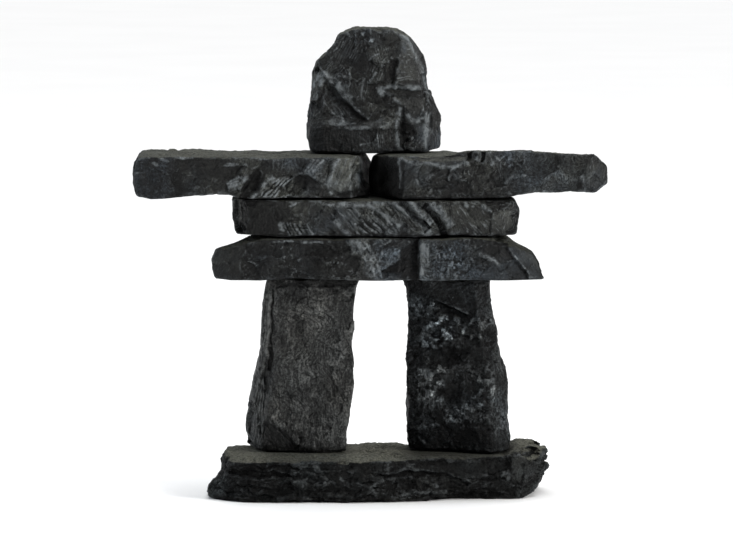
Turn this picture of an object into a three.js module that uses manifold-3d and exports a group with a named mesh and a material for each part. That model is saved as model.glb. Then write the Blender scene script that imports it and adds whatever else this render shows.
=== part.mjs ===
// A tabletop inukshuk: eight pieces of split black stone, stacked dry and standing by their own weight.
// Millimetres, +Z up, the front faces -Y, and the origin is under the middle of the figure.
import * as THREE from 'three';
import { mergeVertices } from 'three/addons/utils/BufferGeometryUtils.js';
import Module from 'manifold-3d';

const wasm = await Module();
wasm.setup();

// Sizes of the eight stones
const BASE_LENGTH = 143.4;
const BASE_DEPTH = 52;
const BASE_HEIGHT = 17.9;
const LEFT_LEG_WIDTH = 48.3;
const RIGHT_LEG_WIDTH = 44.5;
const LEG_DEPTH = 27;
const LEG_HEIGHT = 73.9;
const LINTEL_LENGTH = 139.5;
const LINTEL_DEPTH = 38;
const LINTEL_HEIGHT = 18;
const WAIST_LENGTH = 121.8;
const WAIST_DEPTH = 38;
const WAIST_HEIGHT = 15.6;
const LEFT_ARM_LENGTH = 100.2;
const RIGHT_ARM_LENGTH = 98.8;
const ARM_DEPTH = 40;
const ARM_HEIGHT = 17.8;
const HEAD_WIDTH = 56.3;
const HEAD_DEPTH = 31;
const HEAD_HEIGHT = 52.4;

// Air between a stone and the one that it rests on, and between the arms' inner ends
const JOINT = 0.3;
const ARM_GAP = 0.5;

// The width of the window between the legs' feet. The left foot ends at the window, this far right of its leg's
// left side, and the right foot starts at the window, this far right of its own leg's left side.
const WINDOW_WIDTH = 25;
const LEFT_FOOT_WIDTH = 44;
const RIGHT_FOOT_INSET = 1.1;

// Where the middle of each stone lies, right of the arms' joint and behind the middle plane
const BASE_SHIFT = 3.1;
const BASE_SETBACK = -2;
const WINDOW_SHIFT = 3;
const LEG_SETBACK = 7;
const LINTEL_SHIFT = 3;
const WAIST_SHIFT = 2.2;
const SLAB_SETBACK = 2;
const HEAD_SHIFT = 1.7;
const HEAD_SETBACK = 9;

// Levels of the beds, from the ground up
const LEG_BED = BASE_HEIGHT + JOINT;
const LINTEL_BED = LEG_BED + LEG_HEIGHT + JOINT;
const WAIST_BED = LINTEL_BED + LINTEL_HEIGHT + JOINT;
const ARM_BED = WAIST_BED + WAIST_HEIGHT + JOINT;
const HEAD_BED = ARM_BED + ARM_HEIGHT + JOINT;

// A repeatable number from 0 to 1 for a corner of the noise lattice
function latticeValue(i, j, k, seed) {
  let hash = Math.imul(i, 374761393) ^ Math.imul(j, 668265263) ^ Math.imul(k, 2147483647);
  hash = Math.imul(hash ^ Math.imul(seed, 1274126177) ^ (hash >>> 13), 1103515245);
  return ((hash ^ (hash >>> 16)) >>> 0) / 4294967295;
}

// Smooth noise from 0 to 1 at a point, on a lattice of the given cell size
function noise(point, cell, seed) {
  const at = point.toArray().map((value) => value / cell);
  const low = at.map(Math.floor);
  const ease = at.map((value, axis) => THREE.MathUtils.smoothstep(value - low[axis], 0, 1));
  let sum = 0;
  for (let corner = 0; corner < 8; corner++) {
    const step = [corner & 1, (corner >> 1) & 1, (corner >> 2) & 1];
    const weight = step.reduce((product, far, axis) => product * (far ? ease[axis] : 1 - ease[axis]), 1);
    sum += weight * latticeValue(low[0] + step[0], low[1] + step[1], low[2] + step[2], seed);
  }
  return sum;
}

// The scar of a flake struck off at a point: 1 in its middle, and 0 on the ridges between the scars
function scar(point, flake, seed) {
  const at = point.clone().divide(flake).toArray();
  const low = at.map(Math.floor);
  let nearest = 1;
  for (let cell = 0; cell < 27; cell++) {
    const step = [cell % 3, Math.floor(cell / 3) % 3, Math.floor(cell / 9)];
    const key = low.map((value, axis) => value + step[axis] - 1);
    const gaps = key.map((value, axis) => value + latticeValue(...key, seed + axis) - at[axis]);
    nearest = Math.min(nearest, gaps.reduce((sum, gap) => sum + gap * gap, 0));
  }
  return 1 - nearest;
}

// The point at a share of the way along a polyline
function along(points, share) {
  const steps = points.slice(1).map((point, i) => point.distanceTo(points[i]));
  const total = steps.reduce((sum, step) => sum + step, 0);
  let left = THREE.MathUtils.clamp(share, 0, 1) * total;
  let i = 0;
  while (i < steps.length - 1 && left > steps[i]) {
    left -= steps[i];
    i += 1;
  }
  return points[i].clone().lerp(points[i + 1], left / steps[i]);
}

// The value of a line over a place, where its points run from left to right
function lineAt(points, place) {
  let i = 0;
  while (i < points.length - 2 && place > points[i + 1][0]) i += 1;
  const [[x0, y0], [x1, y1]] = [points[i], points[i + 1]];
  return y0 + (y1 - y0) * THREE.MathUtils.clamp((place - x0) / (x1 - x0), 0, 1);
}

// A front outline in percent of the stone's length and height becomes four polylines in millimetres.
// The sides leave out their ends, which are the ends of the bed and of the crest.
function outlineEdges({ bed, crest, left, right }, size) {
  const millimetres = ([x, z]) => new THREE.Vector2((x * size.x) / 100, (z * size.z) / 100);
  const scaled = (points) => points.map(millimetres);
  return {
    bed: scaled(bed),
    crest: scaled(crest),
    left: scaled([bed[0], ...left, crest[0]]),
    right: scaled([bed.at(-1), ...right, crest.at(-1)]),
  };
}

// The point of the front outline at shares of the way across and up, blended from its four edges
function outlinePoint(edges, across, up) {
  const point = new THREE.Vector2();
  point.addScaledVector(along(edges.bed, across), 1 - up);
  point.addScaledVector(along(edges.crest, across), up);
  point.addScaledVector(along(edges.left, up), 1 - across);
  point.addScaledVector(along(edges.right, up), across);
  point.addScaledVector(edges.bed[0], -(1 - across) * (1 - up));
  point.addScaledVector(edges.bed.at(-1), -across * (1 - up));
  point.addScaledVector(edges.crest[0], -(1 - across) * up);
  point.addScaledVector(edges.crest.at(-1), -across * up);
  return point;
}

// Moves grid lines so that the outermost ones mark off the rounding of the edges
function spread(share, lines, margin) {
  const line = share * lines;
  if (line <= 1) return line * margin;
  if (line >= lines - 1) return 1 - (lines - line) * margin;
  return margin + ((line - 1) / (lines - 2)) * (1 - 2 * margin);
}

// A split stone with its bed at z = 0 and its left side at x = 0. Its front view fills the outline. Its plan lies
// between a front and a back line, in percent of the depth from the middle plane, over percent of the length, or
// of the width at each level if `tapers`. The batter is how far the front leans back on the way up, the skew how
// far each end runs to the right on the way to the back, and the fall how far the top sinks on that way, over
// percent of the length. Splitting has struck flakes of the size `flake` off every face, which leaves scars and
// ridges `rough` high and half as high again along the edges, but not off the seats, which are the flat parts of
// the bed and the top.
function splitStone(shape) {
  const { size, grid, edge, outline, plan, batter = 0, skew = [0, 0], tapers = false, flake, rough, seed } = shape;
  const fall = shape.fall ?? [[0, 0], [100, 0]];
  const box = new THREE.BoxGeometry(1, 1, 1, ...grid);
  box.deleteAttribute('normal');
  box.deleteAttribute('uv');
  const geometry = mergeVertices(box, 1e-5);
  const position = geometry.attributes.position;
  const edges = outlineEdges(outline, size);
  const half = size.clone().multiplyScalar(0.5);
  const inner = half.clone().subScalar(edge);
  const point = new THREE.Vector3();
  const onEdge = [];

  for (let i = 0; i < position.count; i++) {
    point.fromBufferAttribute(position, i).addScalar(0.5);
    const place = new THREE.Vector3(
      spread(point.x, grid[0], edge / size.x),
      spread(point.y, grid[1], edge / size.y),
      spread(point.z, grid[2], edge / size.z),
    ).multiply(size).sub(half);
    const core = place.clone().clamp(inner.clone().negate(), inner);
    onEdge.push(['x', 'y', 'z'].filter((axis) => Math.abs(place[axis]) > inner[axis] - 1e-3).length > 1);
    const share = place.sub(core).setLength(edge).add(core).add(half).divide(size);
    const { x, y: z } = outlinePoint(edges, share.x, share.z);
    const across = tapers ? 100 * share.x : (100 * x) / size.x;
    const front = (lineAt(plan.front, across) * size.y) / 100 + batter * share.z;
    const back = (lineAt(plan.back, across) * size.y) / 100;
    const run = (share.y - 0.5) * THREE.MathUtils.lerp(skew[0], skew[1], share.x);
    const sunk = share.y * share.z * lineAt(fall, (100 * x) / size.x);
    position.setXYZ(i, x + run, THREE.MathUtils.lerp(front, back, share.y), z - sunk);
  }

  geometry.computeVertexNormals();
  const normal = geometry.attributes.normal;
  const outward = new THREE.Vector3();
  for (let i = 0; i < position.count; i++) {
    point.fromBufferAttribute(position, i);
    outward.fromBufferAttribute(normal, i);
    const relief = 0.45 - 0.8 * scar(point, flake, seed) - 0.2 * noise(point, flake.z / 3, seed);
    const seated = !onEdge[i] && (Math.abs(point.z) < 1e-3 || Math.abs(point.z - size.z) < 1e-3);
    const highest = Math.max(point.z, size.z);
    if (!seated) point.addScaledVector(outward, rough * relief * (onEdge[i] ? 1.5 : 1));
    position.setXYZ(i, point.x, point.y, THREE.MathUtils.clamp(point.z, 0, highest));
  }
  geometry.deleteAttribute('normal');
  return geometry;
}

// A closed geometry as a solid that can be cut
function solidFrom(geometry) {
  const bare = geometry.clone();
  bare.deleteAttribute('normal');
  bare.deleteAttribute('uv');
  const merged = mergeVertices(bare, 1e-4);
  return new wasm.Manifold(new wasm.Mesh({
    numProp: 3,
    vertProperties: merged.attributes.position.array,
    triVerts: new Uint32Array(merged.index.array),
  }));
}

function geometryFrom(solid) {
  const { vertProperties, triVerts } = solid.getMesh();
  return new THREE.BufferGeometry()
    .setAttribute('position', new THREE.BufferAttribute(vertProperties, 3))
    .setIndex(new THREE.BufferAttribute(triVerts, 1));
}

// Takes every tool away from the stone
function struck(stone, tools) {
  return geometryFrom(tools.reduce((solid, tool) => solid.subtract(solidFrom(tool)), solidFrom(stone)));
}

// A hollow struck out of a stone: an egg with its middle at a place and of half sizes in percent of the stone's
// size, turned in the front view by an angle in degrees
function hollow(size, place, halfSizes, turn = 0) {
  const inPercent = (shares) => new THREE.Vector3(...shares).multiply(size).divideScalar(100).toArray();
  const egg = new THREE.SphereGeometry(1, 12, 8);
  egg.scale(...inPercent(halfSizes));
  egg.rotateY(THREE.MathUtils.degToRad(-turn));
  egg.translate(...inPercent(place));
  return egg;
}

// A ramp split off the front, which deepens evenly from one place to the next, down to a depth in percent of the
// stone's, and ends in a sharp riser
function ramp(size, from, to, frontLine, deepest) {
  const depth = (deepest * size.y) / 100;
  const [start, end] = [from, to].map((share) => (share * size.x) / 100);
  const [startFront, endFront] = [from, to].map((share) => (lineAt(frontLine, share) * size.y) / 100);
  const plan = new THREE.Shape([
    new THREE.Vector2(start, startFront - depth),
    new THREE.Vector2(end, endFront - depth),
    new THREE.Vector2(end, endFront + depth),
    new THREE.Vector2(start, startFront),
  ]);
  const prism = new THREE.ExtrudeGeometry(plan, { depth: 2 * size.z, bevelEnabled: false });
  prism.translate(0, 0, -size.z / 2);
  return prism;
}

// The base: a ragged slab, undercut below its top ledge, with the end of its top layer left standing at the right
function baseSlab() {
  const size = new THREE.Vector3(BASE_LENGTH, BASE_DEPTH, BASE_HEIGHT);
  const slab = splitStone({
    size,
    grid: [25, 7, 5],
    edge: 0.8,
    outline: {
      bed: [[0.2, 0], [50, 0], [94, 0]],
      crest: [[5.4, 100], [50, 100], [89, 100], [91, 117], [96, 117], [99.4, 107]],
      left: [[-0.8, 6], [-2.2, 12], [-0.6, 23], [1.8, 35], [3.6, 49], [4.8, 66], [5, 84]],
      right: [[96, 9], [98.2, 24], [99.8, 42], [100.4, 62], [99.6, 86]],
    },
    plan: {
      front: [
        [0, -26], [4, -38], [10, -48], [45, -50], [56, -46], [71, -36], [82, -33], [93, -30], [100, -12],
      ],
      back: [[0, -4], [4, 20], [9, 37], [24, 48], [45, 48], [70, 49], [90, 50], [97, 40], [100, 16]],
    },
    batter: 1.5,
    skew: [-1, 3],
    flake: new THREE.Vector3(24, 18, 9),
    rough: 2,
    seed: 11,
  });
  return struck(slab, [
    hollow(size, [17, -52, 74], [9.4, 7.7, 18.4], -2),
    hollow(size, [63, -48, 38], [14, 8.6, 23.5], 2),
    hollow(size, [80, -36, 6], [16.7, 9.6, 13.4], 3),
    hollow(size, [100, -34, 112], [9.8, 30.8, 29]),
    hollow(size, [102, 0, 72], [4.6, 38, 6], -5),
  ]);
}

// The left leg, whose left side is a long splayed face
function leftLeg() {
  return splitStone({
    size: new THREE.Vector3(LEFT_LEG_WIDTH, LEG_DEPTH, LEG_HEIGHT),
    grid: [8, 5, 15],
    edge: 1,
    outline: {
      bed: [[0.5, 0], [45, 0], [(100 * LEFT_FOOT_WIDTH) / LEFT_LEG_WIDTH, 0]],
      crest: [[20, 100], [60, 100], [102, 100]],
      left: [
        [-0.6, 4], [-1, 12], [-0.2, 19], [4.4, 27], [6.2, 37], [10, 46], [12.8, 54], [14.8, 68],
        [15.5, 80], [18, 92],
      ],
      right: [
        [89.2, 8], [91.6, 15], [94, 30], [95, 44], [96.2, 52], [93.2, 59], [95, 69], [96, 82], [98.4, 92],
      ],
    },
    plan: {
      front: [[0, 8], [16, -46], [50, -52], [100, -44]],
      back: [[0, 28], [25, 50], [80, 50], [100, 42]],
    },
    batter: 1,
    flake: new THREE.Vector3(14, 14, 22),
    rough: 1.4,
    seed: 23,
  });
}

// The right leg, whose front faces a little to the left
function rightLeg() {
  return splitStone({
    size: new THREE.Vector3(RIGHT_LEG_WIDTH, LEG_DEPTH, LEG_HEIGHT),
    grid: [8, 5, 15],
    edge: 1.2,
    outline: {
      bed: [[(100 * RIGHT_FOOT_INSET) / RIGHT_LEG_WIDTH, 0], [45, 0], [100, 0]],
      crest: [[-4, 100], [40, 100], [82, 100]],
      left: [[1.8, 8], [2, 25], [2.2, 45], [2, 57], [4.6, 68], [4, 82], [1.2, 92]],
      right: [
        [101, 9], [99.4, 22], [98.2, 30], [99.3, 37], [97, 46], [91.6, 54], [88.5, 65], [85.5, 76],
        [82, 90],
      ],
    },
    plan: {
      front: [[0, -20], [8, -32], [50, -52], [88, -70], [100, -46]],
      back: [[0, 42], [30, 50], [80, 40], [100, 18]],
    },
    batter: 3,
    tapers: true,
    flake: new THREE.Vector3(15, 14, 17),
    rough: 1.8,
    seed: 37,
  });
}

// The lintel across the legs, with a sharp step in its front and a bevelled right end
function lintelSlab() {
  const size = new THREE.Vector3(LINTEL_LENGTH, LINTEL_DEPTH, LINTEL_HEIGHT);
  const plan = {
    front: [[0, -40], [3, -48], [30, -50], [88, -50], [100, -34]],
    back: [[0, -24], [6, -2], [13, 26], [24, 48], [60, 50], [92, 44], [100, 26]],
  };
  const slab = splitStone({
    size,
    grid: [24, 5, 5],
    edge: 0.7,
    outline: {
      bed: [[0.8, 0], [50, 0], [100.4, 0]],
      crest: [
        [1.4, 74], [3.6, 78], [7.8, 83], [12, 92], [16.5, 100], [86, 100], [88.8, 93], [90.6, 81],
        [94, 67], [97, 59],
      ],
      left: [[0.1, 14], [0, 42], [0.4, 64]],
      right: [[99.4, 16], [98.6, 39]],
    },
    plan,
    tapers: true,
    flake: new THREE.Vector3(22, 16, 12),
    rough: 1.4,
    seed: 41,
  });
  return struck(slab, [ramp(size, 51, 62.6, plan.front, 8.4)]);
}

// The waist, with two gouges that run down its front to the right
function waistSlab() {
  const size = new THREE.Vector3(WAIST_LENGTH, WAIST_DEPTH, WAIST_HEIGHT);
  const slab = splitStone({
    size,
    grid: [24, 5, 5],
    edge: 0.9,
    outline: {
      bed: [[1.8, 0], [50, 0], [98.4, 0]],
      crest: [[0, 98], [4, 100], [50, 100], [92, 100], [97.5, 94]],
      left: [[1, 14], [0.2, 40], [0, 66]],
      right: [[99.2, 14], [99.8, 46], [100, 66], [99, 82]],
    },
    plan: {
      front: [[0, -10], [3.5, -44], [30, -48], [55, -50], [90, -46], [98, -38], [100, -20]],
      back: [[0, 30], [8, 46], [60, 50], [92, 46], [100, 20]],
    },
    flake: new THREE.Vector3(20, 16, 10),
    rough: 1.2,
    seed: 53,
  });
  return struck(slab, [
    hollow(size, [60, -51, 58], [7.8, 7.4, 12.2], -44),
    hollow(size, [67.5, -50, 54], [7.4, 8.4, 12.2], -52),
  ]);
}

// The left arm, thinner where it reaches out beyond the waist, with a struck hollow near its inner end
function leftArm() {
  const size = new THREE.Vector3(LEFT_ARM_LENGTH, ARM_DEPTH, ARM_HEIGHT);
  const bar = splitStone({
    size,
    grid: [22, 5, 5],
    edge: 1,
    outline: {
      bed: [[2.6, 7], [8, 1], [16, 0.5], [22, 4.5], [29, 9], [41, 9.5], [44, 4], [47, 0], [100, 0]],
      crest: [[1.8, 99], [4.4, 103.5], [28, 102], [48, 100], [96.2, 100]],
      left: [[0.8, 24], [0.5, 50], [0.5, 86]],
      right: [[100, 28], [100, 60], [98.8, 74]],
    },
    plan: {
      front: [[0, -42], [3, -48], [50, -50], [93.5, -50], [97, -38], [99.4, -8], [100, 8]],
      back: [[0, 34], [6, 46], [50, 50], [92, 50], [100, 48]],
    },
    batter: 0.8,
    skew: [0, 4.4],
    flake: new THREE.Vector3(20, 16, 12),
    rough: 1.4,
    seed: 61,
  });
  return struck(bar, [
    hollow(size, [49, -53, 44], [9, 7.5, 13.5], 52),
    hollow(size, [66, -54, 34], [9, 9, 22.5], 35),
  ]);
}

// The right arm, whose inner end is split off at a slant
function rightArm() {
  return splitStone({
    size: new THREE.Vector3(RIGHT_ARM_LENGTH, ARM_DEPTH, ARM_HEIGHT),
    grid: [22, 5, 5],
    edge: 1,
    outline: {
      bed: [[0, 0], [57, 0], [60, 6], [64, 12], [72, 14.5], [93, 15]],
      crest: [[2.3, 100], [31.4, 100], [36, 112], [41, 118], [53, 118], [60, 114.5], [76, 113], [94, 109]],
      left: [[0, 40], [0, 73]],
      right: [[98, 20], [100, 32], [100, 58], [99.6, 84], [98, 98]],
    },
    plan: {
      front: [[0, 2], [6, -22], [13.2, -48], [60, -50], [93, -48], [100, -34]],
      back: [[0, 40], [1.5, 50], [60, 50], [94, 44], [100, 30]],
    },
    skew: [4.4, 0],
    fall: [[31, 0], [38, 4.6], [100, 4.6]],
    flake: new THREE.Vector3(20, 16, 12),
    rough: 1.5,
    seed: 71,
  });
}

// The head, with a struck hollow left of the middle and an upright gouge near its right side
function headStone() {
  const size = new THREE.Vector3(HEAD_WIDTH, HEAD_DEPTH, HEAD_HEIGHT);
  const stone = splitStone({
    size,
    grid: [13, 6, 12],
    edge: 1.8,
    outline: {
      bed: [[3, 0], [50, 0], [99.4, 0]],
      crest: [
        [18.4, 88.5], [20.5, 93.5], [26, 98.5], [34, 100.3], [42, 100.8], [60, 99.6], [70, 98.2],
        [77, 92.4], [82.4, 86],
      ],
      left: [
        [0.4, 10], [0, 21], [1.4, 36], [2, 52], [2.6, 63], [5, 71], [9, 77.5], [14.4, 81.5], [17.2, 84.5],
      ],
      right: [[100, 9], [100.6, 21], [100, 29], [97.6, 36], [95, 43], [92.8, 52], [91, 62], [88, 73]],
    },
    plan: {
      front: [[0, -30], [8, -46], [50, -42], [90, -28], [100, 14]],
      back: [[0, 10], [25, 46], [75, 50], [100, 28]],
    },
    batter: 4,
    tapers: true,
    flake: new THREE.Vector3(17, 15, 16),
    rough: 2.2,
    seed: 83,
  });
  return struck(stone, [
    hollow(size, [22, -44, 42], [17, 10.3, 8.4], -40),
    hollow(size, [71.5, -37, 14], [3.2, 11, 25]),
  ]);
}

const slate = (tone, roughness) => new THREE.MeshStandardMaterial({ color: tone, roughness, metalness: 0 });

// Stands a stone on its bed with its left side at x and its middle plane at y
function laid(name, geometry, material, x, y, bed) {
  const mesh = new THREE.Mesh(geometry, material);
  mesh.name = name;
  mesh.position.set(x, y, bed);
  return mesh;
}

// The feet stand at either side of the window
const LEFT_LEG_X = WINDOW_SHIFT - WINDOW_WIDTH / 2 - LEFT_FOOT_WIDTH;
const RIGHT_LEG_X = WINDOW_SHIFT + WINDOW_WIDTH / 2 - RIGHT_FOOT_INSET;

const figure = new THREE.Group();
figure.add(
  laid('base_slab', baseSlab(), slate(0x242625, 0.62), BASE_SHIFT - BASE_LENGTH / 2, BASE_SETBACK, 0),
  laid('left_leg', leftLeg(), slate(0x2c2d2c, 0.7), LEFT_LEG_X, LEG_SETBACK, LEG_BED),
  laid('right_leg', rightLeg(), slate(0x222425, 0.66), RIGHT_LEG_X, LEG_SETBACK, LEG_BED),
  laid('lintel', lintelSlab(), slate(0x252728, 0.6), LINTEL_SHIFT - LINTEL_LENGTH / 2, SLAB_SETBACK, LINTEL_BED),
  laid('waist', waistSlab(), slate(0x2a2c2d, 0.52), WAIST_SHIFT - WAIST_LENGTH / 2, SLAB_SETBACK, WAIST_BED),
  laid('left_arm', leftArm(), slate(0x2a2b2a, 0.55), ARM_GAP / 2 - LEFT_ARM_LENGTH, SLAB_SETBACK, ARM_BED),
  laid('right_arm', rightArm(), slate(0x262829, 0.6), ARM_GAP, SLAB_SETBACK, ARM_BED),
  laid('head_stone', headStone(), slate(0x27292b, 0.55), HEAD_SHIFT - HEAD_WIDTH / 2, HEAD_SETBACK, HEAD_BED),
);

// The origin goes under the middle of the whole figure
const middle = new THREE.Box3().setFromObject(figure).getCenter(new THREE.Vector3());
figure.position.set(-middle.x, -middle.y, 0);

export default figure;
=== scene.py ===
"""A tabletop inukshuk of eight split black stones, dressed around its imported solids.

Each stone starts from its solid, which is remeshed finely, carved with the scars and ledges of its own front,
and roughened all over by a Geometry Nodes relief. Stones are worked in millimetres, and meshes are in metres.
"""

from __future__ import annotations

import logging
import math
from dataclasses import dataclass
from enum import Enum

import bmesh
import bpy
import numpy as np
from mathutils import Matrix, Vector


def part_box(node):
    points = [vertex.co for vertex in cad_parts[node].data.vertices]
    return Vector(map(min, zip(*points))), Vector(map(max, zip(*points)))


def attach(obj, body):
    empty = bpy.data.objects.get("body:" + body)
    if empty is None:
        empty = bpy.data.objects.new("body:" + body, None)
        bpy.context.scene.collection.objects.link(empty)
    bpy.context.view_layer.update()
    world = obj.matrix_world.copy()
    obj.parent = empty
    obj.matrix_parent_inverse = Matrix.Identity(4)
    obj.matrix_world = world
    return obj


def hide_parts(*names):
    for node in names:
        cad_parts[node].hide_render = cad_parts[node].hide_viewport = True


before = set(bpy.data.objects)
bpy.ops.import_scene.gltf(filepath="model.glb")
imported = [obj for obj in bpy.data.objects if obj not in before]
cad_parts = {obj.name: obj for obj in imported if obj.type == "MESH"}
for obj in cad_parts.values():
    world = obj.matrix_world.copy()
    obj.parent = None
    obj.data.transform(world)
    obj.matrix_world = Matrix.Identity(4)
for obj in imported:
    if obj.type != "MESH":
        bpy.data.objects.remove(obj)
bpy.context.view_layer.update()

log = logging.getLogger("inukshuk")

MM = 0.001
BODY = "root"

# The marks that a mesh carries for its material, and how many times paler each step of tone is.
# Hollow and dark marks carry painted shade, ridge and light marks carry bruised stone with painted
# highlights, and the mark of upward faces carries dust with a painted sheen.
MARKS = ("ridge", "hollow", "light", "dark", "tone", "way", "dust", "facet", "relief")
TONE_STEP = 4.2

# Where the copied solids are welded, in metres, and how far a face looks forward to be divided finely.
WELD = 1e-5
FRONTAL = -0.3

# Seats are held from nothing to whole between two heights off a bed and two ways past the edge of the
# stone above. A stone stays clear of the one above by the joint, a little way round it too.
SEAT_HEIGHT = (1.2, 0.5)
SEAT_EDGE = (1.0, -0.5)
UNDER_REACH = 2.0
JOINT = 0.3

# How much of the arms' inner ends is held, which way it faces, and how much darker it is painted, for the
# shade that falls between the arms.
END_REACH = 6.0
END_FACING = (0.3, 0.6)
INNER_SHADE = 1.7

# How far a front may stand out of its solid's box.
FRONT_ROOM = 1.0

# A place is percent of a front's length and height, and places in a row give the two by turns. Stops
# give percent of the length and a value by turns. A reach is an oval's half sizes in millimetres.
Place = tuple[float, float]
Places = tuple[float, ...]
Stops = tuple[float, ...]
Reach = tuple[float, float]
Spot = tuple[float, float, float]
Colour = tuple[float, float, float]
Box = tuple[np.ndarray, np.ndarray]
Socket = bpy.types.NodeSocket
Sockets = bpy.types.bpy_prop_collection
Inputs = dict[str | int, object]


def smoothstep(low: float, high: float, values: np.ndarray) -> np.ndarray:
    """Eases values from 0 at low to 1 at high.

    Args:
        low: the value that gives 0.
        high: the value that gives 1, above or below low.
        values: the values to ease.

    Returns:
        The eased values.
    """
    share = np.clip((values - low) / (high - low), 0.0, 1.0)
    return share * share * (3.0 - 2.0 * share)


def lattice(cells: np.ndarray, seed: int) -> np.ndarray:
    """Gives each cell of a lattice its own number.

    Args:
        cells: whole numbers, three to a row.
        seed: a number that changes them all.

    Returns:
        A number from 0 to 1 for each row.
    """
    mixed = cells[:, 0] * 374761393 + cells[:, 1] * 668265263 + cells[:, 2] * 2147483647 + seed * 1274126177
    mixed = mixed & 0xFFFFFFFF
    mixed = ((mixed ^ (mixed >> 13)) * 1103515245) & 0xFFFFFFFF
    return ((mixed ^ (mixed >> 16)) & 0xFFFFFFFF) / 0xFFFFFFFF


def noise(points: np.ndarray, cell: float, seed: int) -> np.ndarray:
    """Smooth noise at points.

    Args:
        points: places in millimetres, three to a row.
        cell: the size of the noise in millimetres.
        seed: a number that changes the noise.

    Returns:
        A number from -1 to 1 for each point.
    """
    at = points / cell
    low = np.floor(at)
    ease = at - low
    ease = ease * ease * (3.0 - 2.0 * ease)
    low = low.astype(np.int64)
    total = np.zeros(len(points))
    for corner in np.ndindex(2, 2, 2):
        step = np.array(corner)
        weight = np.prod(np.where(step == 1, ease, 1.0 - ease), axis=1)
        total += weight * lattice(low + step, seed)
    return 2.0 * total - 1.0


def softened(line: np.ndarray) -> np.ndarray:
    """Rounds the corners of a line off, and keeps its ends.

    Args:
        line: points, two numbers to a row.

    Returns:
        The points of the rounder line.
    """
    for _ in range(2):
        near = 0.75 * line[:-1] + 0.25 * line[1:]
        far = 0.25 * line[:-1] + 0.75 * line[1:]
        middle = np.stack([near, far], axis=1).reshape(-1, 2)
        line = np.concatenate([line[:1], middle[1:-1], line[-1:]])
    return line


def beside(flat: np.ndarray, line: np.ndarray) -> tuple[np.ndarray, np.ndarray]:
    """Finds where places lie beside a line.

    Args:
        flat: the places, two numbers to a row.
        line: the line's points.

    Returns:
        The distance of each place from the line, positive on its left as it runs, and the share of the way
        along it.
    """
    best = np.full(len(flat), np.inf)
    side = np.ones(len(flat))
    travel = np.zeros(len(flat))
    gone = 0.0
    for start, end in zip(line[:-1], line[1:]):
        run = end - start
        length = float(np.hypot(*run))
        share = np.clip((flat - start) @ run / length**2, 0.0, 1.0)
        off = flat - start - share[:, None] * run
        gap = np.hypot(off[:, 0], off[:, 1])
        nearer = gap < best
        best = np.where(nearer, gap, best)
        side = np.where(nearer, np.where(run[0] * off[:, 1] - run[1] * off[:, 0] >= 0, 1.0, -1.0), side)
        travel = np.where(nearer, gone + share * length, travel)
        gone += length
    return best * side, travel / gone


def within(flat: np.ndarray, corners: np.ndarray) -> np.ndarray:
    """Finds how far places lie inside a shape with straight sides.

    Args:
        flat: the places, two numbers to a row.
        corners: the shape's corners.

    Returns:
        The distance of each place from the shape's edge, positive inside it.
    """
    closed = np.concatenate([corners, corners[:1]])
    inside = np.zeros(len(flat), bool)
    for (x0, y0), (x1, y1) in zip(closed[:-1], closed[1:]):
        if y0 != y1:
            level = (flat[:, 1] < y0) != (flat[:, 1] < y1)
            inside ^= level & (flat[:, 0] < x0 + (flat[:, 1] - y0) * (x1 - x0) / (y1 - y0))
    gap = np.abs(beside(flat, closed)[0])
    return np.where(inside, gap, -gap)


def faded(travel: np.ndarray, share: float) -> np.ndarray:
    """Fades a cut out towards both ends of its line, over a share of its length."""
    return smoothstep(0.0, share, travel) * smoothstep(1.0, 1.0 - share, travel)


class Surface:
    """The vertices of a stone's mesh and the corners of its box, in millimetres."""

    # How much of a rounding's shrinkage goes back.
    SPREAD = 1.04

    def __init__(self, mesh: bpy.types.Mesh, box: Box) -> None:
        """Reads the mesh.

        Args:
            mesh: the mesh.
            box: the lowest and the highest corner of the stone's solid.
        """
        self.mesh = mesh
        self.low, self.high = box
        self.count = len(mesh.vertices)
        edges = np.empty(2 * len(mesh.edges), np.int32)
        mesh.edges.foreach_get("vertices", edges)
        self.edges = edges.reshape(-1, 2)
        self.degree = np.maximum(np.bincount(edges, minlength=self.count), 1)
        flat = np.empty(3 * self.count, np.float32)
        mesh.vertices.foreach_get("co", flat)
        self.points = flat.reshape(-1, 3).astype(float) / MM

    def write(self) -> None:
        """Moves the mesh's vertices to the points."""
        self.mesh.vertices.foreach_set("co", (self.points * MM).astype(np.float32).ravel())
        self.mesh.update()

    def normals(self) -> np.ndarray:
        """Writes the points and reads the mesh's outward directions.

        Returns:
            A direction for each vertex.
        """
        self.write()
        flat = np.empty(3 * self.count, np.float32)
        self.mesh.vertex_normals.foreach_get("vector", flat)
        return flat.reshape(-1, 3).astype(float)

    def averaged(self, values: np.ndarray, rounds: int) -> np.ndarray:
        """Averages values with their neighbours'.

        Args:
            values: one number or a row of numbers for each vertex.
            rounds: how many times over.

        Returns:
            The averaged values.
        """
        table = values.reshape(self.count, -1)
        first, second = self.edges.T
        for _ in range(rounds):
            sums = np.stack([
                np.bincount(first, row[second], self.count) + np.bincount(second, row[first], self.count)
                for row in table.T
            ], axis=1)
            table = 0.5 * table + 0.5 * sums / self.degree[:, None]
        return table.reshape(values.shape)

    def smoothed(self, rounds: int) -> np.ndarray:
        """Rounds small creases off the points without shrinking the shape.

        Args:
            rounds: how many times over.

        Returns:
            The rounder points.
        """
        points = self.points
        for _ in range(rounds):
            points = self.averaged(points, 1)
            points = points - self.SPREAD * (self.averaged(points, 1) - points)
        return points

    def store(self, name: str, values: np.ndarray) -> None:
        """Keeps a number for each vertex as an attribute of the mesh."""
        attribute = self.mesh.attributes.get(name) or self.mesh.attributes.new(name, "FLOAT", "POINT")
        attribute.data.foreach_set("value", values.astype(np.float32))


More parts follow.
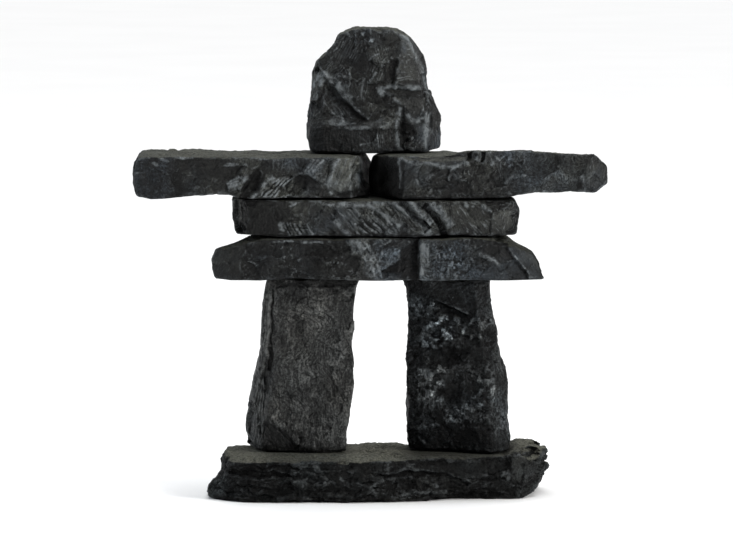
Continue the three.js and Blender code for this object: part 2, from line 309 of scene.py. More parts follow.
class Front:
    """The front of a stone, where tools work at places in percent of its length and height."""

    def __init__(self, surface: Surface, way: float, drift: float, seed: int) -> None:
        """Sets up the front.

        Args:
            surface: the stone's surface.
            way: how far the streaks of the split rise to the right, in degrees.
            drift: how far their way wanders, in degrees.
            seed: changes how the tools wander.
        """
        self.surface = surface
        self.span = (surface.high - surface.low)[[0, 2]]
        self.seed = seed
        self.facing = smoothstep(0.12, 0.5, -surface.normals()[:, 1])
        points = surface.points
        wander = np.stack([noise(points, 3.2, seed), noise(points, 3.2, seed + 1)], axis=1) * 0.45
        wander += np.stack([noise(points, 1.3, seed + 2), noise(points, 1.3, seed + 3)], axis=1) * 0.2
        self.flat = (points - surface.low)[:, [0, 2]] + wander
        # Pale marks stand for bruised stone and painted highlights; dark marks are painted shade in hollows.
        self.light = np.zeros(surface.count)
        self.dark = np.zeros(surface.count)
        self.tone = np.zeros(surface.count)
        self.relief = np.ones(surface.count)
        self.way = np.radians(way + drift * noise(points, 9.0, seed + 6))
        self.fray = 0.6 * noise(points, 1.5, seed + 7) + 0.4 * noise(points, 0.7, seed + 8)
        gaps = noise(points, 1.7, seed + 4) + 0.5 * noise(points, 0.8, seed + 5)
        self.broken = smoothstep(-0.7, 0.15, gaps)

    def line(self, places: Places) -> np.ndarray:
        """Turns places in percent into a rounded line in millimetres."""
        return softened(self.spots(places))

    def spots(self, places: Places) -> np.ndarray:
        """Turns places in percent, x and y by turns, into millimetres."""
        return np.array(places).reshape(-1, 2) * self.span / 100.0

    def anchor(self, place: Place) -> np.ndarray:
        """Finds the point of the front at a place in percent."""
        gap = np.hypot(*(self.flat - self.spots(place)).T) + 100.0 * (self.facing < 0.3)
        return self.surface.points[int(np.argmin(gap))]

    def oval(self, place: Place, reach: Reach, turn: float = 0.0) -> tuple[np.ndarray, np.ndarray]:
        """Measures places in an oval.

        Args:
            place: its middle in percent.
            reach: its two half sizes in millimetres.
            turn: how far its first axis rises to the right, in degrees.

        Returns:
            The distance from its middle, which is 1 on its edge, and the place across its second axis.
        """
        off = self.flat - self.spots(place)
        cos, sin = math.cos(math.radians(turn)), math.sin(math.radians(turn))
        first = (off[:, 0] * cos + off[:, 1] * sin) / reach[0]
        second = (off[:, 1] * cos - off[:, 0] * sin) / reach[1]
        return np.hypot(first, second), second

    def sink(self, depth: np.ndarray) -> None:
        """Pushes the front back by a depth in millimetres, or out where it is negative."""
        self.surface.points[:, 1] += depth * self.facing

    def mark_pale_and_highlight(self, amount: np.ndarray) -> None:
        """Marks fresh or bruised stone, which is paler, together with painted highlights on crests and
        ridges.
        """
        self.light = np.maximum(self.light, amount * self.facing)

    def paint_shade(self, amount: np.ndarray) -> None:
        """Paints shade into a hollow, a groove or the foot of a ledge, where the stone is made darker."""
        self.dark = np.maximum(self.dark, amount * self.facing)

    def tint(self, tone: float, share: np.ndarray) -> None:
        """Turns the stone's tone to a new one, from -1 for nearly black to 1 for pale grey."""
        self.tone += (tone - self.tone) * share

    def calm(self, amount: np.ndarray) -> None:
        """Holds back the roughness of the split."""
        self.relief = np.minimum(self.relief, 1.0 - amount)


@dataclass(frozen=True)
class Ledge:
    """A split edge: the stone falls away on the left of the line as it runs, and rises again over a run."""

    line: Places
    drop: float
    run: float
    pale: float
    fade: float
    lip: float = 0.35
    hollow: float = 1.5

    def cut(self, front: Front) -> None:
        """Cuts the ledge.

        Args:
            front: the front it works on.
        """
        gap, travel = beside(front.flat, front.line(self.line))
        ends = faded(travel, self.fade)
        ramp = np.clip(1.0 - gap / self.run, 0.0, 1.0) ** self.hollow * smoothstep(-0.25, 0.35, gap)
        crest = np.exp(-(((gap + 0.3) / 0.5) ** 2)) * front.broken
        front.sink((self.drop * ramp - self.lip * crest) * ends)
        # the crest is painted paler, as bruised stone and a painted highlight, and the hollow under it is
        # painted in shade
        front.mark_pale_and_highlight(self.pale * crest * ends)
        front.paint_shade(0.6 * ramp**2 * ends)


@dataclass(frozen=True)
class Groove:
    """A narrow channel along a line."""

    line: Places
    width: float
    depth: float
    fade: float = 0.15
    shade: float = 1.0
    widen: float = 0.0

    def cut(self, front: Front) -> None:
        """Cuts the groove.

        Args:
            front: the front it works on.
        """
        gap, travel = beside(front.flat, front.line(self.line))
        ends = np.maximum(faded(travel, self.fade), smoothstep(0.5, 1.0, travel) * self.widen)
        width = self.width * (1.0 - self.widen * (1.0 - travel))
        profile = np.clip(1.0 - (gap / width) ** 4, 0.0, 1.0)
        front.sink(self.depth * profile * ends)
        # painted shade in the groove
        front.paint_shade(self.shade * profile * ends)


@dataclass(frozen=True)
class Rib:
    """A raised line left between two scars."""

    line: Places
    width: float = 0.5
    rise: float = 0.3
    pale: float = 1.0
    fade: float = 0.05
    whole: float = 0.0

    def cut(self, front: Front) -> None:
        """Raises the rib, broken here and there, or whole.

        Args:
            front: the front it works on.
        """
        gap, travel = beside(front.flat, front.line(self.line))
        profile = np.exp(-((gap / self.width) ** 2)) * faded(travel, self.fade)
        profile *= np.maximum(front.broken, self.whole)
        front.sink(-self.rise * profile)
        # the rib is painted paler, as bruised stone and a painted highlight
        front.mark_pale_and_highlight(self.pale * profile)


@dataclass(frozen=True)
class Scoop:
    """An oval hollow struck out of the front."""

    place: Place
    reach: Reach
    depth: float
    shade: float
    turn: float = 0.0

    def cut(self, front: Front) -> None:
        """Strikes the hollow.

        Args:
            front: the front it works on.
        """
        away, _ = front.oval(self.place, self.reach, self.turn)
        profile = np.clip(1.0 - away**2, 0.0, 1.0)
        front.sink(self.depth * profile)
        # painted shade in the hollow
        front.paint_shade(self.shade * profile)


@dataclass(frozen=True)
class Swell:
    """A smooth oval that stands proud."""

    place: Place
    reach: Reach
    rise: float
    tilt: float
    calm: float

    def cut(self, front: Front) -> None:
        """Raises the oval.

        Args:
            front: the front it works on.
        """
        away, across = front.oval(self.place, self.reach)
        inside = smoothstep(1.15, 0.85, away)
        front.sink(-(self.rise + self.tilt * across) * inside)
        front.calm(self.calm * inside)


@dataclass(frozen=True)
class Combed:
    """Parallel scratches within an oval."""

    place: Place
    reach: Reach
    angle: float
    spacing: float
    depth: float
    pale: float

    def cut(self, front: Front) -> None:
        """Combs the scratches in.

        Args:
            front: the front it works on.
        """
        away, _ = front.oval(self.place, self.reach)
        cos, sin = math.cos(math.radians(self.angle)), math.sin(math.radians(self.angle))
        across = front.flat[:, 1] * cos - front.flat[:, 0] * sin
        along = front.flat[:, 0] * cos + front.flat[:, 1] * sin
        rows = np.stack([along / 6.0, across / self.spacing * 1.1, np.zeros_like(along)], axis=1)
        wave = np.sin(2 * math.pi * (across / self.spacing + 0.35 * noise(rows, 1.0, front.seed + 9)))
        inside = smoothstep(1.0, 0.6, away) * (0.65 + 0.35 * noise(rows, 1.0, front.seed + 11))
        front.sink(self.depth * wave * inside)
        # the scratches' ridges are painted paler, as bruised stone and painted highlights
        front.mark_pale_and_highlight(self.pale * smoothstep(-0.2, -1.0, wave) * inside)
        front.calm(0.5 * smoothstep(1.0, 0.7, away))


@dataclass(frozen=True)
class Flat:
    """A flat facet: everything proud of a plane comes off, within a reach of its middle.

    The plane lies a depth under the surface at its middle, and faces the front, turned to the right by the
    yaw and up by the pitch, in degrees.
    """

    place: Place
    depth: float
    yaw: float
    pitch: float
    reach: Reach
    calm: float

    def cut(self, front: Front) -> None:
        """Takes the stone off down to the plane.

        Args:
            front: the front it works on.
        """
        middle = front.anchor(self.place)
        yaw, pitch = math.radians(self.yaw), math.radians(self.pitch)
        level = math.cos(pitch)
        outward = np.array([math.sin(yaw) * level, -math.cos(yaw) * level, math.sin(pitch)])
        proud = (front.surface.points - middle) @ outward + self.depth
        away, _ = front.oval(self.place, self.reach)
        cut = np.maximum(proud, 0.0) * smoothstep(1.05, 0.9, away)
        front.surface.points -= cut[:, None] * outward
        front.calm(self.calm * smoothstep(0.0, 0.12, cut))


@dataclass(frozen=True)
class Facet:
    """A scar with straight sides. Its face turns to the right by the yaw and up by the pitch, in degrees."""

    corners: Places
    depth: float = 0.0
    yaw: float = 0.0
    pitch: float = 0.0
    tone: float = 0.0
    calm: float = 0.2
    soft: float = 0.8
    way: float | None = None

    def cut(self, front: Front) -> None:
        """Strikes the scar.

        Args:
            front: the front it works on.
        """
        corners = front.spots(self.corners)
        gap = within(front.flat, corners) + 0.5 * front.fray
        share = smoothstep(-self.soft, self.soft, gap)
        off = front.flat - corners.mean(axis=0)
        slope = off[:, 0] * math.tan(math.radians(self.yaw)) + off[:, 1] * math.tan(math.radians(self.pitch))
        front.sink((self.depth + slope) * share)
        front.tint(self.tone, smoothstep(-0.8, 0.8, gap + 0.5 * front.fray))
        front.calm(self.calm * share)
        if self.way is not None:
            front.way = np.where(gap > 0.0, math.radians(self.way), front.way)


@dataclass(frozen=True)
class Shade:
    """The stone's tone over percent of its length, which eases from each stop to the next."""

    stops: Stops

    def cut(self, front: Front) -> None:
        """Tones the front.

        Args:
            front: the front it works on.
        """
        across = 100.0 * front.flat[:, 0] / front.span[0]
        tones = np.interp(across, self.stops[::2], self.stops[1::2])
        front.tone = tones * smoothstep(0.0, 0.5, front.facing)


@dataclass(frozen=True)
class Patch:
    """An oval with a soft edge, toned, bluish or smoother than the stone about it."""

    place: Place
    reach: Reach
    tone: float
    turn: float = 0.0
    pale: float = 0.0
    calm: float = 0.0

    def cut(self, front: Front) -> None:
        """Marks the patch.

        Args:
            front: the front it works on.
        """
        away, _ = front.oval(self.place, self.reach, self.turn)
        share = smoothstep(1.2, 0.5, away + 0.25 * front.fray) * front.facing
        front.tint(self.tone, share)
        # its pale share stands for bruised stone and painted highlights
        front.mark_pale_and_highlight(self.pale * share)
        front.calm(self.calm * share)


@dataclass(frozen=True)
class Speckled:
    """Crisp pale lumps, with darker stone between, scattered over an oval."""

    place: Place
    reach: Reach
    tone: float
    lump: float = 0.8
    rise: float = 0.25
    share: float = 0.33

    def cut(self, front: Front) -> None:
        """Raises the lumps and makes them paler.

        Args:
            front: the front it works on.
        """
        away, _ = front.oval(self.place, self.reach)
        inside = smoothstep(1.15, 0.6, away + 0.35 * front.fray) * front.facing
        lumps = smoothstep(-0.05, 0.35, noise(front.surface.points, self.lump, front.seed + 13))
        front.sink(-self.rise * lumps * inside)
        front.tone += self.tone * (lumps - self.share) * inside


Tool = Ledge | Groove | Rib | Scoop | Swell | Combed | Flat | Facet | Shade | Patch | Speckled
Carving = tuple[Tool, ...]


@dataclass(frozen=True)
class Relief:
    """How a stone's split faces are roughened. Lengths are in millimetres."""

    flats: float = 1.6
    flat_reach: tuple[float, float] = (3.0, 9.0)
    flat_depth: tuple[float, float] = (0.05, 0.4)
    flat_tilt: float = 0.16
    flat_front: float = 0.35
    flat_sides: int = 5
    flake: tuple[float, float, float] = (9.0, 9.0, 6.0)
    flake_depth: float = 0.5
    grain: tuple[float, float, float] = (1.6, 1.6, 1.2)
    grain_depth: float = 0.16
    layer: float = 1.6
    layer_depth: float = 0.2
    pit: float = 1.8
    pit_depth: float = 0.0
    pit_share: float = 0.3


def struck(surface: Surface, relief: Relief, seed: int) -> None:
    """Strikes small angular facets off a stone all round.

    Args:
        surface: the stone's surface.
        relief: how many facets to a square centimetre, how large, how deep and how tilted.
        seed: picks their places.
    """
    rng = np.random.default_rng(seed)
    normals = surface.averaged(surface.normals(), 12)
    normals /= np.linalg.norm(normals, axis=1)[:, None]
    points = surface.points
    strength = 1.0 - (1.0 - relief.flat_front) * smoothstep(0.3, 0.7, -normals[:, 1])
    wander = np.stack([noise(points, 1.6, seed + axis) for axis in range(3)], axis=1)
    ragged = points + 0.5 * wander
    span = np.ptp(points, axis=0)
    area = 2 * (span[0] * span[1] + span[1] * span[2] + span[2] * span[0]) / 100.0
    for _ in range(round(relief.flats * area)):
        chosen = int(rng.integers(surface.count))
        reach = rng.uniform(*relief.flat_reach)
        outward = normals[chosen] + rng.normal(0.0, relief.flat_tilt, 3)
        outward /= np.linalg.norm(outward)
        middle = points[chosen] - outward * rng.uniform(*relief.flat_depth)
        near = np.flatnonzero(np.abs(points - middle).max(axis=1) < reach)
        off = ragged[near] - middle
        inside = np.ones(len(near))
        turn = rng.uniform(0.0, 2 * math.pi)
        first = np.cross(outward, [0.31, 0.52, 0.79])
        first /= np.linalg.norm(first)
        second = np.cross(outward, first)
        for side in range(relief.flat_sides):
            angle = turn + 2 * math.pi * (side + rng.uniform(-0.3, 0.3)) / relief.flat_sides
            away = off @ (math.cos(angle) * first + math.sin(angle) * second)
            edge = reach * rng.uniform(0.35, 0.8)
            inside *= smoothstep(edge + 0.3, edge - 0.3, away)
        proud = (points[near] - middle) @ outward
        points[near] -= (np.maximum(proud, 0.0) * inside * strength[near])[:, None] * outward


class Wiring:
    """A node tree with short ways to add nodes, shared by materials and relief."""

    def __init__(self, tree: bpy.types.NodeTree) -> None:
        """Takes the tree on."""
        self.tree = tree

    def plug(self, socket: Socket, value: object) -> None:
        """Links a socket to another one, or sets its value.

        Args:
            socket: the socket.
            value: the other socket or the value.
        """
        if isinstance(value, bpy.types.NodeSocket):
            self.tree.links.new(value, socket)
        else:
            socket.default_value = value

    def add(self, kind: str, inputs: Inputs | None = None, **settings: object) -> bpy.types.Node:
        """Adds a node.

        Args:
            kind: its type name.
            inputs: values or sockets for its inputs, by name or number.
            settings: its own settings.

        Returns:
            The node.
        """
        node = self.tree.nodes.new(kind)
        for name, value in settings.items():
            setattr(node, name, value)
        for key, value in (inputs or {}).items():
            self.plug(node.inputs[key], value)
        return node

    def sum(self, operation: str, first: object, second: object = 0.0, third: object = 0.0) -> Socket:
        """Adds a math node and returns its value."""
        return self.add("ShaderNodeMath", {0: first, 1: second, 2: third}, operation=operation).outputs[0]

    def times(self, *factors: object) -> Socket:
        """Multiplies numbers one after another.

        Args:
            factors: the numbers or sockets.

        Returns:
            The product.
        """
        total = factors[0]
        for factor in factors[1:]:
            total = self.sum("MULTIPLY", total, factor)
        return total

    def vector(self, operation: str, *values: object, scale: object = None) -> Socket:
        """Adds a vector math node and returns its vector."""
        inputs = dict(enumerate(values)) | ({} if scale is None else {"Scale": scale})
        return self.add("ShaderNodeVectorMath", inputs, operation=operation).outputs[0]

    def alike(self, kind: str, value: object) -> Socket:
        """Adds a node that takes one number three times over, and returns its output."""
        return self.add(kind, {0: value, 1: value, 2: value}).outputs[0]

    def noise(self, vector: object, scale: object, detail: float = 2.0, roughness: float = 0.5) -> Sockets:
        """Adds a noise texture and returns its outputs."""
        inputs = {"Vector": vector, "Scale": scale, "Detail": detail, "Roughness": roughness}
        return self.add("ShaderNodeTexNoise", inputs).outputs

    def wandering(self, vector: object, scale: float, detail: float, reach: float) -> Socket:
        """Moves places about by a noise and returns them."""
        centred = self.vector("SUBTRACT", self.noise(vector, scale, detail)["Color"], (0.5, 0.5, 0.5))
        return self.vector("ADD", vector, self.vector("SCALE", centred, scale=reach))

    def ranged(
        self, value: object, low: float, high: float, to_low: float = 0.0, to_high: float = 1.0,
    ) -> Socket:
        """Eases a value from one range to another and returns it."""
        inputs = {"Value": value, "From Min": low, "From Max": high, "To Min": to_low, "To Max": to_high}
        return self.add("ShaderNodeMapRange", inputs, interpolation_type="SMOOTHSTEP").outputs["Result"]

    def mixed(self, factor: object, first: object, second: object, blend: str = "MIX") -> Socket:
        """Mixes two colours.

        Args:
            factor: the share of the second.
            first: a colour or a socket.
            second: another.
            blend: how they mix.

        Returns:
            The mixed colour.
        """
        node = self.add("ShaderNodeMix", data_type="RGBA", blend_type=blend)
        self.plug(node.inputs["Factor"], factor)
        colours = [socket for socket in node.inputs if socket.type == "RGBA"]
        for socket, value in zip(colours, (first, second)):
            self.plug(socket, (*value, 1.0) if isinstance(value, tuple) else value)
        return next(socket for socket in node.outputs if socket.type == "RGBA")

    def group(self, tree: bpy.types.NodeTree, vector: Socket, **inputs: object) -> Sockets:
        """Adds a shared group and returns its outputs. Its inputs are named in lower case, with low lines."""
        named = {name.replace("_", " ").capitalize(): value for name, value in inputs.items()}
        return self.add("ShaderNodeGroup", {"Vector": vector, **named}, node_tree=tree).outputs


class ReliefTree:
    """The Geometry Nodes tree that roughens every stone."""

    SIZES = ("Flake size", "Grain size")
    NUMBERS = (
        "Flake depth", "Grain depth", "Layer size", "Layer depth", "Pit size", "Pit depth", "Pit share",
        "Seed",
    )
    # The share of the flake size, and the weight, of each layer of flakes.
    FLAKES = ((1.0, 1.0), (0.42, 0.5), (0.18, 0.26))

    def __init__(self) -> None:
        """Builds the tree."""
        self.tree = bpy.data.node_groups.new("Split stone relief", "GeometryNodeTree")
        face = self.tree.interface
        kinds = {
            "Geometry": "NodeSocketGeometry", **dict.fromkeys(self.SIZES, "NodeSocketVector"),
            **dict.fromkeys(self.NUMBERS, "NodeSocketFloat"), "Finish": "NodeSocketMaterial",
        }
        self.sockets = {
            name: face.new_socket(name=name, in_out="INPUT", socket_type=kind).identifier
            for name, kind in kinds.items()
        }
        face.new_socket(name="Geometry", in_out="OUTPUT", socket_type="NodeSocketGeometry")
        self._wire(Wiring(self.tree))

    def _wire(self, board: Wiring) -> None:
        """Wires the nodes up: flakes, grain, layers and pits, one on another.

        Args:
            board: the tree's wiring.
        """
        inputs = board.add("NodeGroupInput").outputs
        position = board.add("GeometryNodeInputPosition").outputs[0]
        normal = board.add("GeometryNodeInputNormal").outputs[0]
        shift = board.vector("SCALE", (0.37, 0.21, 0.53), scale=inputs["Seed"])
        place = board.vector("ADD", position, shift)
        wandering = board.wandering(place, 190.0, 4.0, 0.006)

        total: object = 0.0
        facet: object = 0.0
        for share, weight in self.FLAKES:
            size = board.vector("SCALE", inputs["Flake size"], scale=share)
            cells = board.vector("DIVIDE", wandering, size)
            flakes = board.add("ShaderNodeTexVoronoi", {"Vector": cells, "Scale": 1.0}).outputs
            lean = board.vector("MULTIPLY_ADD", flakes["Color"], (2.0, 2.0, 2.0), (-1.0, -1.0, -1.0))
            away = board.vector("SUBTRACT", cells, flakes["Position"])
            dot = board.add("ShaderNodeVectorMath", {0: lean, 1: away}, operation="DOT_PRODUCT")
            chance = board.add("ShaderNodeSeparateXYZ", {0: flakes["Color"]}).outputs[0]
            chance = board.sum("SUBTRACT", chance, 0.5)
            step = board.sum("MULTIPLY_ADD", chance, 0.5, dot.outputs["Value"])
            total = board.sum("MULTIPLY_ADD", step, board.times(inputs["Flake depth"], weight), total)
            facet = board.sum("MULTIPLY_ADD", chance, weight, facet)

        grained = board.vector("DIVIDE", place, inputs["Grain size"])
        speck = board.sum("SUBTRACT", board.noise(grained, 0.5, 3.0, 0.62)["Fac"], 0.5)
        total = board.sum("MULTIPLY_ADD", speck, board.times(inputs["Grain depth"], 4.0), total)

        flattened = board.vector("MULTIPLY", wandering, (0.14, 0.14, 1.0))
        layered = board.vector("DIVIDE", flattened, board.alike("ShaderNodeCombineXYZ", inputs["Layer size"]))
        split = board.sum("SUBTRACT", board.ranged(board.noise(layered, 0.5)["Fac"], 0.36, 0.62), 0.5)
        upward = board.add("ShaderNodeSeparateXYZ", {0: normal}).outputs[2]
        sides = board.ranged(board.sum("ABSOLUTE", upward), 0.85, 0.4)
        total = board.sum("MULTIPLY_ADD", split, board.times(inputs["Layer depth"], 2.0, sides), total)

        dotted = board.vector("DIVIDE", wandering, board.alike("ShaderNodeCombineXYZ", inputs["Pit size"]))
        pits = board.add("ShaderNodeTexVoronoi", {"Vector": dotted, "Scale": 1.0}).outputs
        chance = board.add("ShaderNodeSeparateXYZ", {0: pits["Color"]}).outputs[0]
        chosen = board.sum("LESS_THAN", chance, inputs["Pit share"])
        pit = board.times(board.ranged(pits["Distance"], 0.55, 0.1), chosen, inputs["Pit depth"])
        total = board.sum("SUBTRACT", total, pit)

        held = board.add("GeometryNodeInputNamedAttribute", {"Name": "relief"}, data_type="FLOAT")
        offset = board.vector("SCALE", normal, scale=board.times(total, held.outputs[0]))
        moved = board.add("GeometryNodeSetPosition", {"Geometry": inputs["Geometry"], "Offset": offset})
        toned = {"Geometry": moved.outputs[0], "Name": "facet", "Value": board.sum("ADD", facet, 0.5)}
        stored = board.add("GeometryNodeStoreNamedAttribute", toned, data_type="FLOAT", domain="POINT")
        real = board.add("GeometryNodeRealizeInstances", {"Geometry": stored.outputs[0]}).outputs[0]
        dressed = board.add("GeometryNodeSetMaterial", {"Geometry": real, "Material": inputs["Finish"]})
        board.add("NodeGroupOutput", {0: dressed.outputs[0]})

    def settings(self, relief: Relief, seed: int, finish: bpy.types.Material) -> dict[str, object]:
        """Gives the modifier's values by socket identifier.

        Args:
            relief: the stone's roughness.
            seed: shifts the pattern.
            finish: the stone's material.

        Returns:
            The values.
        """
        named = {
            "Flake size": [side * MM for side in relief.flake],
            "Grain size": [side * MM for side in relief.grain],
            "Flake depth": relief.flake_depth * MM,
            "Grain depth": relief.grain_depth * MM,
            "Layer size": relief.layer * MM,
            "Layer depth": relief.layer_depth * MM,
            "Pit size": relief.pit * MM,
            "Pit depth": relief.pit_depth * MM,
            "Pit share": relief.pit_share,
            "Seed": float(seed),
            "Finish": finish,
        }
        return {self.sockets[name]: value for name, value in named.items()}


class Groups:
    """The shader node groups that every slate uses. Each takes a place as its first input."""

    def __init__(self) -> None:
        """Builds the groups."""
        self.tone = self._tone()
        self.wear_and_highlight = self._wear()
        self.dust = self._dust()
        self.grain = self._grain()
        self.streaks = self._streaks()

    @staticmethod
    def _start(name: str, inputs: dict[str, object], outputs: tuple[str, ...]) -> tuple[Wiring, Sockets]:
        """Starts a group.

        Args:
            name: the group's name.
            inputs: the default of each input after the place, a number or three.
            outputs: the names of the numbers that it puts out.

        Returns:
            The wiring, and the sockets of its inputs.
        """
        tree = bpy.data.node_groups.new(name, "ShaderNodeTree")
        tree.interface.new_socket(name="Vector", in_out="INPUT", socket_type="NodeSocketVector")
        for label, value in inputs.items():
            kind = "NodeSocketFloat" if isinstance(value, float) else "NodeSocketVector"
            tree.interface.new_socket(name=label, in_out="INPUT", socket_type=kind).default_value = value
        for label in outputs:
            tree.interface.new_socket(name=label, in_out="OUTPUT", socket_type="NodeSocketFloat")
        board = Wiring(tree)
        return board, board.add("NodeGroupInput").outputs

    def _tone(self) -> bpy.types.NodeTree:
        """Broad patches, mottling and specks of the stone's colour.

        Returns:
            The group.
        """
        board, inputs = self._start(
            "Slate tone", {"Patch size": 0.018, "Mottle size": 0.003}, ("Patch", "Cool", "Mottle", "Speck"),
        )
        vector = inputs["Vector"]
        patches, mottles = (board.sum("DIVIDE", 0.5, inputs[size]) for size in ("Patch size", "Mottle size"))
        moved = board.vector("ADD", vector, (3.1, 1.7, 5.3))
        noises = {
            "Patch": (board.noise(vector, patches, 3.0), 0.38, 0.62),
            "Cool": (board.noise(moved, patches, 4.0, 0.6), 0.42, 0.62),
            "Mottle": (board.noise(vector, mottles, 5.0, 0.65), 0.3, 0.7),
            "Speck": (board.noise(vector, 1100.0, 2.0, 0.6), 0.3, 0.7),
        }
        board.add("NodeGroupOutput", {
            name: board.ranged(found["Fac"], low, high) for name, (found, low, high) in noises.items()
        })
        return board.tree

    def _wear(self) -> bpy.types.NodeTree:
        """Crushed, paler stone and painted highlights on ridges and edges, broken up by a fine noise.

        Returns:
            The group.
        """
        board, inputs = self._start(
            "Crushed edges", {"Ridge": 0.0, "Marked": 0.0, "Break size": 0.0014}, ("Mask",),
        )
        vector = inputs["Vector"]
        fine = board.noise(vector, board.sum("DIVIDE", 0.5, inputs["Break size"]), 4.0, 0.7)["Fac"]
        broad = board.noise(vector, 110.0)["Fac"]
        gate = board.times(board.ranged(fine, 0.42, 0.66), board.ranged(broad, 0.35, 0.62, 0.1, 0.8))
        ridge = board.times(inputs["Ridge"], gate)
        marked = board.times(inputs["Marked"], board.ranged(fine, 0.38, 0.6, 0.2, 1.25))
        mask = board.add("ShaderNodeClamp", {0: board.sum("ADD", ridge, marked)}).outputs[0]
        board.add("NodeGroupOutput", {"Mask": mask})
        return board.tree

    def _dust(self) -> bpy.types.NodeTree:
        """Settled dust where the stone faces up, with a painted sheen of the light that falls on those tops.

        Returns:
            The group.
        """
        board, inputs = self._start("Settled dust", {"Dust": 0.0}, ("Mask",))
        patchy = board.ranged(board.noise(inputs["Vector"], 420.0, 4.0, 0.65)["Fac"], 0.25, 0.6, 0.45, 1.0)
        board.add("NodeGroupOutput", {"Mask": board.times(inputs["Dust"], patchy)})
        return board.tree

    def _streaks(self) -> bpy.types.NodeTree:
        """Fine streaks that run the way the stone split, and the brightest of them by themselves, which are
        painted glints.

        Returns:
            The group.
        """
        board, inputs = self._start("Split streaks", {"Way": 0.0, "Streak size": 0.0011}, ("Streak", "Glint"))
        cos, sin = (board.sum(operation, inputs["Way"]) for operation in ("COSINE", "SINE"))
        wandering = board.wandering(inputs["Vector"], 160.0, 2.0, 0.003)
        x, y, z = board.add("ShaderNodeSeparateXYZ", {0: wandering}).outputs
        along = board.sum("ADD", board.times(x, cos), board.times(z, sin))
        across = board.sum("SUBTRACT", board.times(z, cos), board.times(x, sin))
        lined = board.add("ShaderNodeCombineXYZ", {0: board.times(along, 0.2), 1: y, 2: across}).outputs[0]
        streak = board.noise(lined, board.sum("DIVIDE", 1.0, inputs["Streak size"]), 3.0, 0.6)["Fac"]
        board.add("NodeGroupOutput", {
            "Streak": board.ranged(streak, 0.3, 0.7), "Glint": board.ranged(streak, 0.58, 0.72),
        })
        return board.tree

    def _grain(self) -> bpy.types.NodeTree:
        """The height of the finest grain and of hair-thin scratches.

        Returns:
            The group.
        """
        board, inputs = self._start(
            "Fine grain", {"Stretch": (1.0, 1.0, 1.0), "Grain size": 0.0007, "Scratch": 0.3}, ("Height",),
        )
        vector = board.vector("MULTIPLY", inputs["Vector"], inputs["Stretch"])
        scale = board.sum("DIVIDE", 0.5, inputs["Grain size"])
        grain = board.noise(vector, scale, 4.0, 0.7)["Fac"]
        cells = {"Vector": vector, "Scale": board.times(scale, 1.1)}
        lumps = board.add("ShaderNodeTexVoronoi", cells).outputs["Distance"]
        slanted = board.vector("MULTIPLY", vector, (0.16, 1.0, 1.0))
        scratch = board.noise(slanted, board.times(scale, 1.2))["Fac"]
        height = board.sum("MULTIPLY_ADD", scratch, inputs["Scratch"], grain)
        board.add("NodeGroupOutput", {"Height": board.sum("MULTIPLY_ADD", lumps, 0.35, height)})
        return board.tree


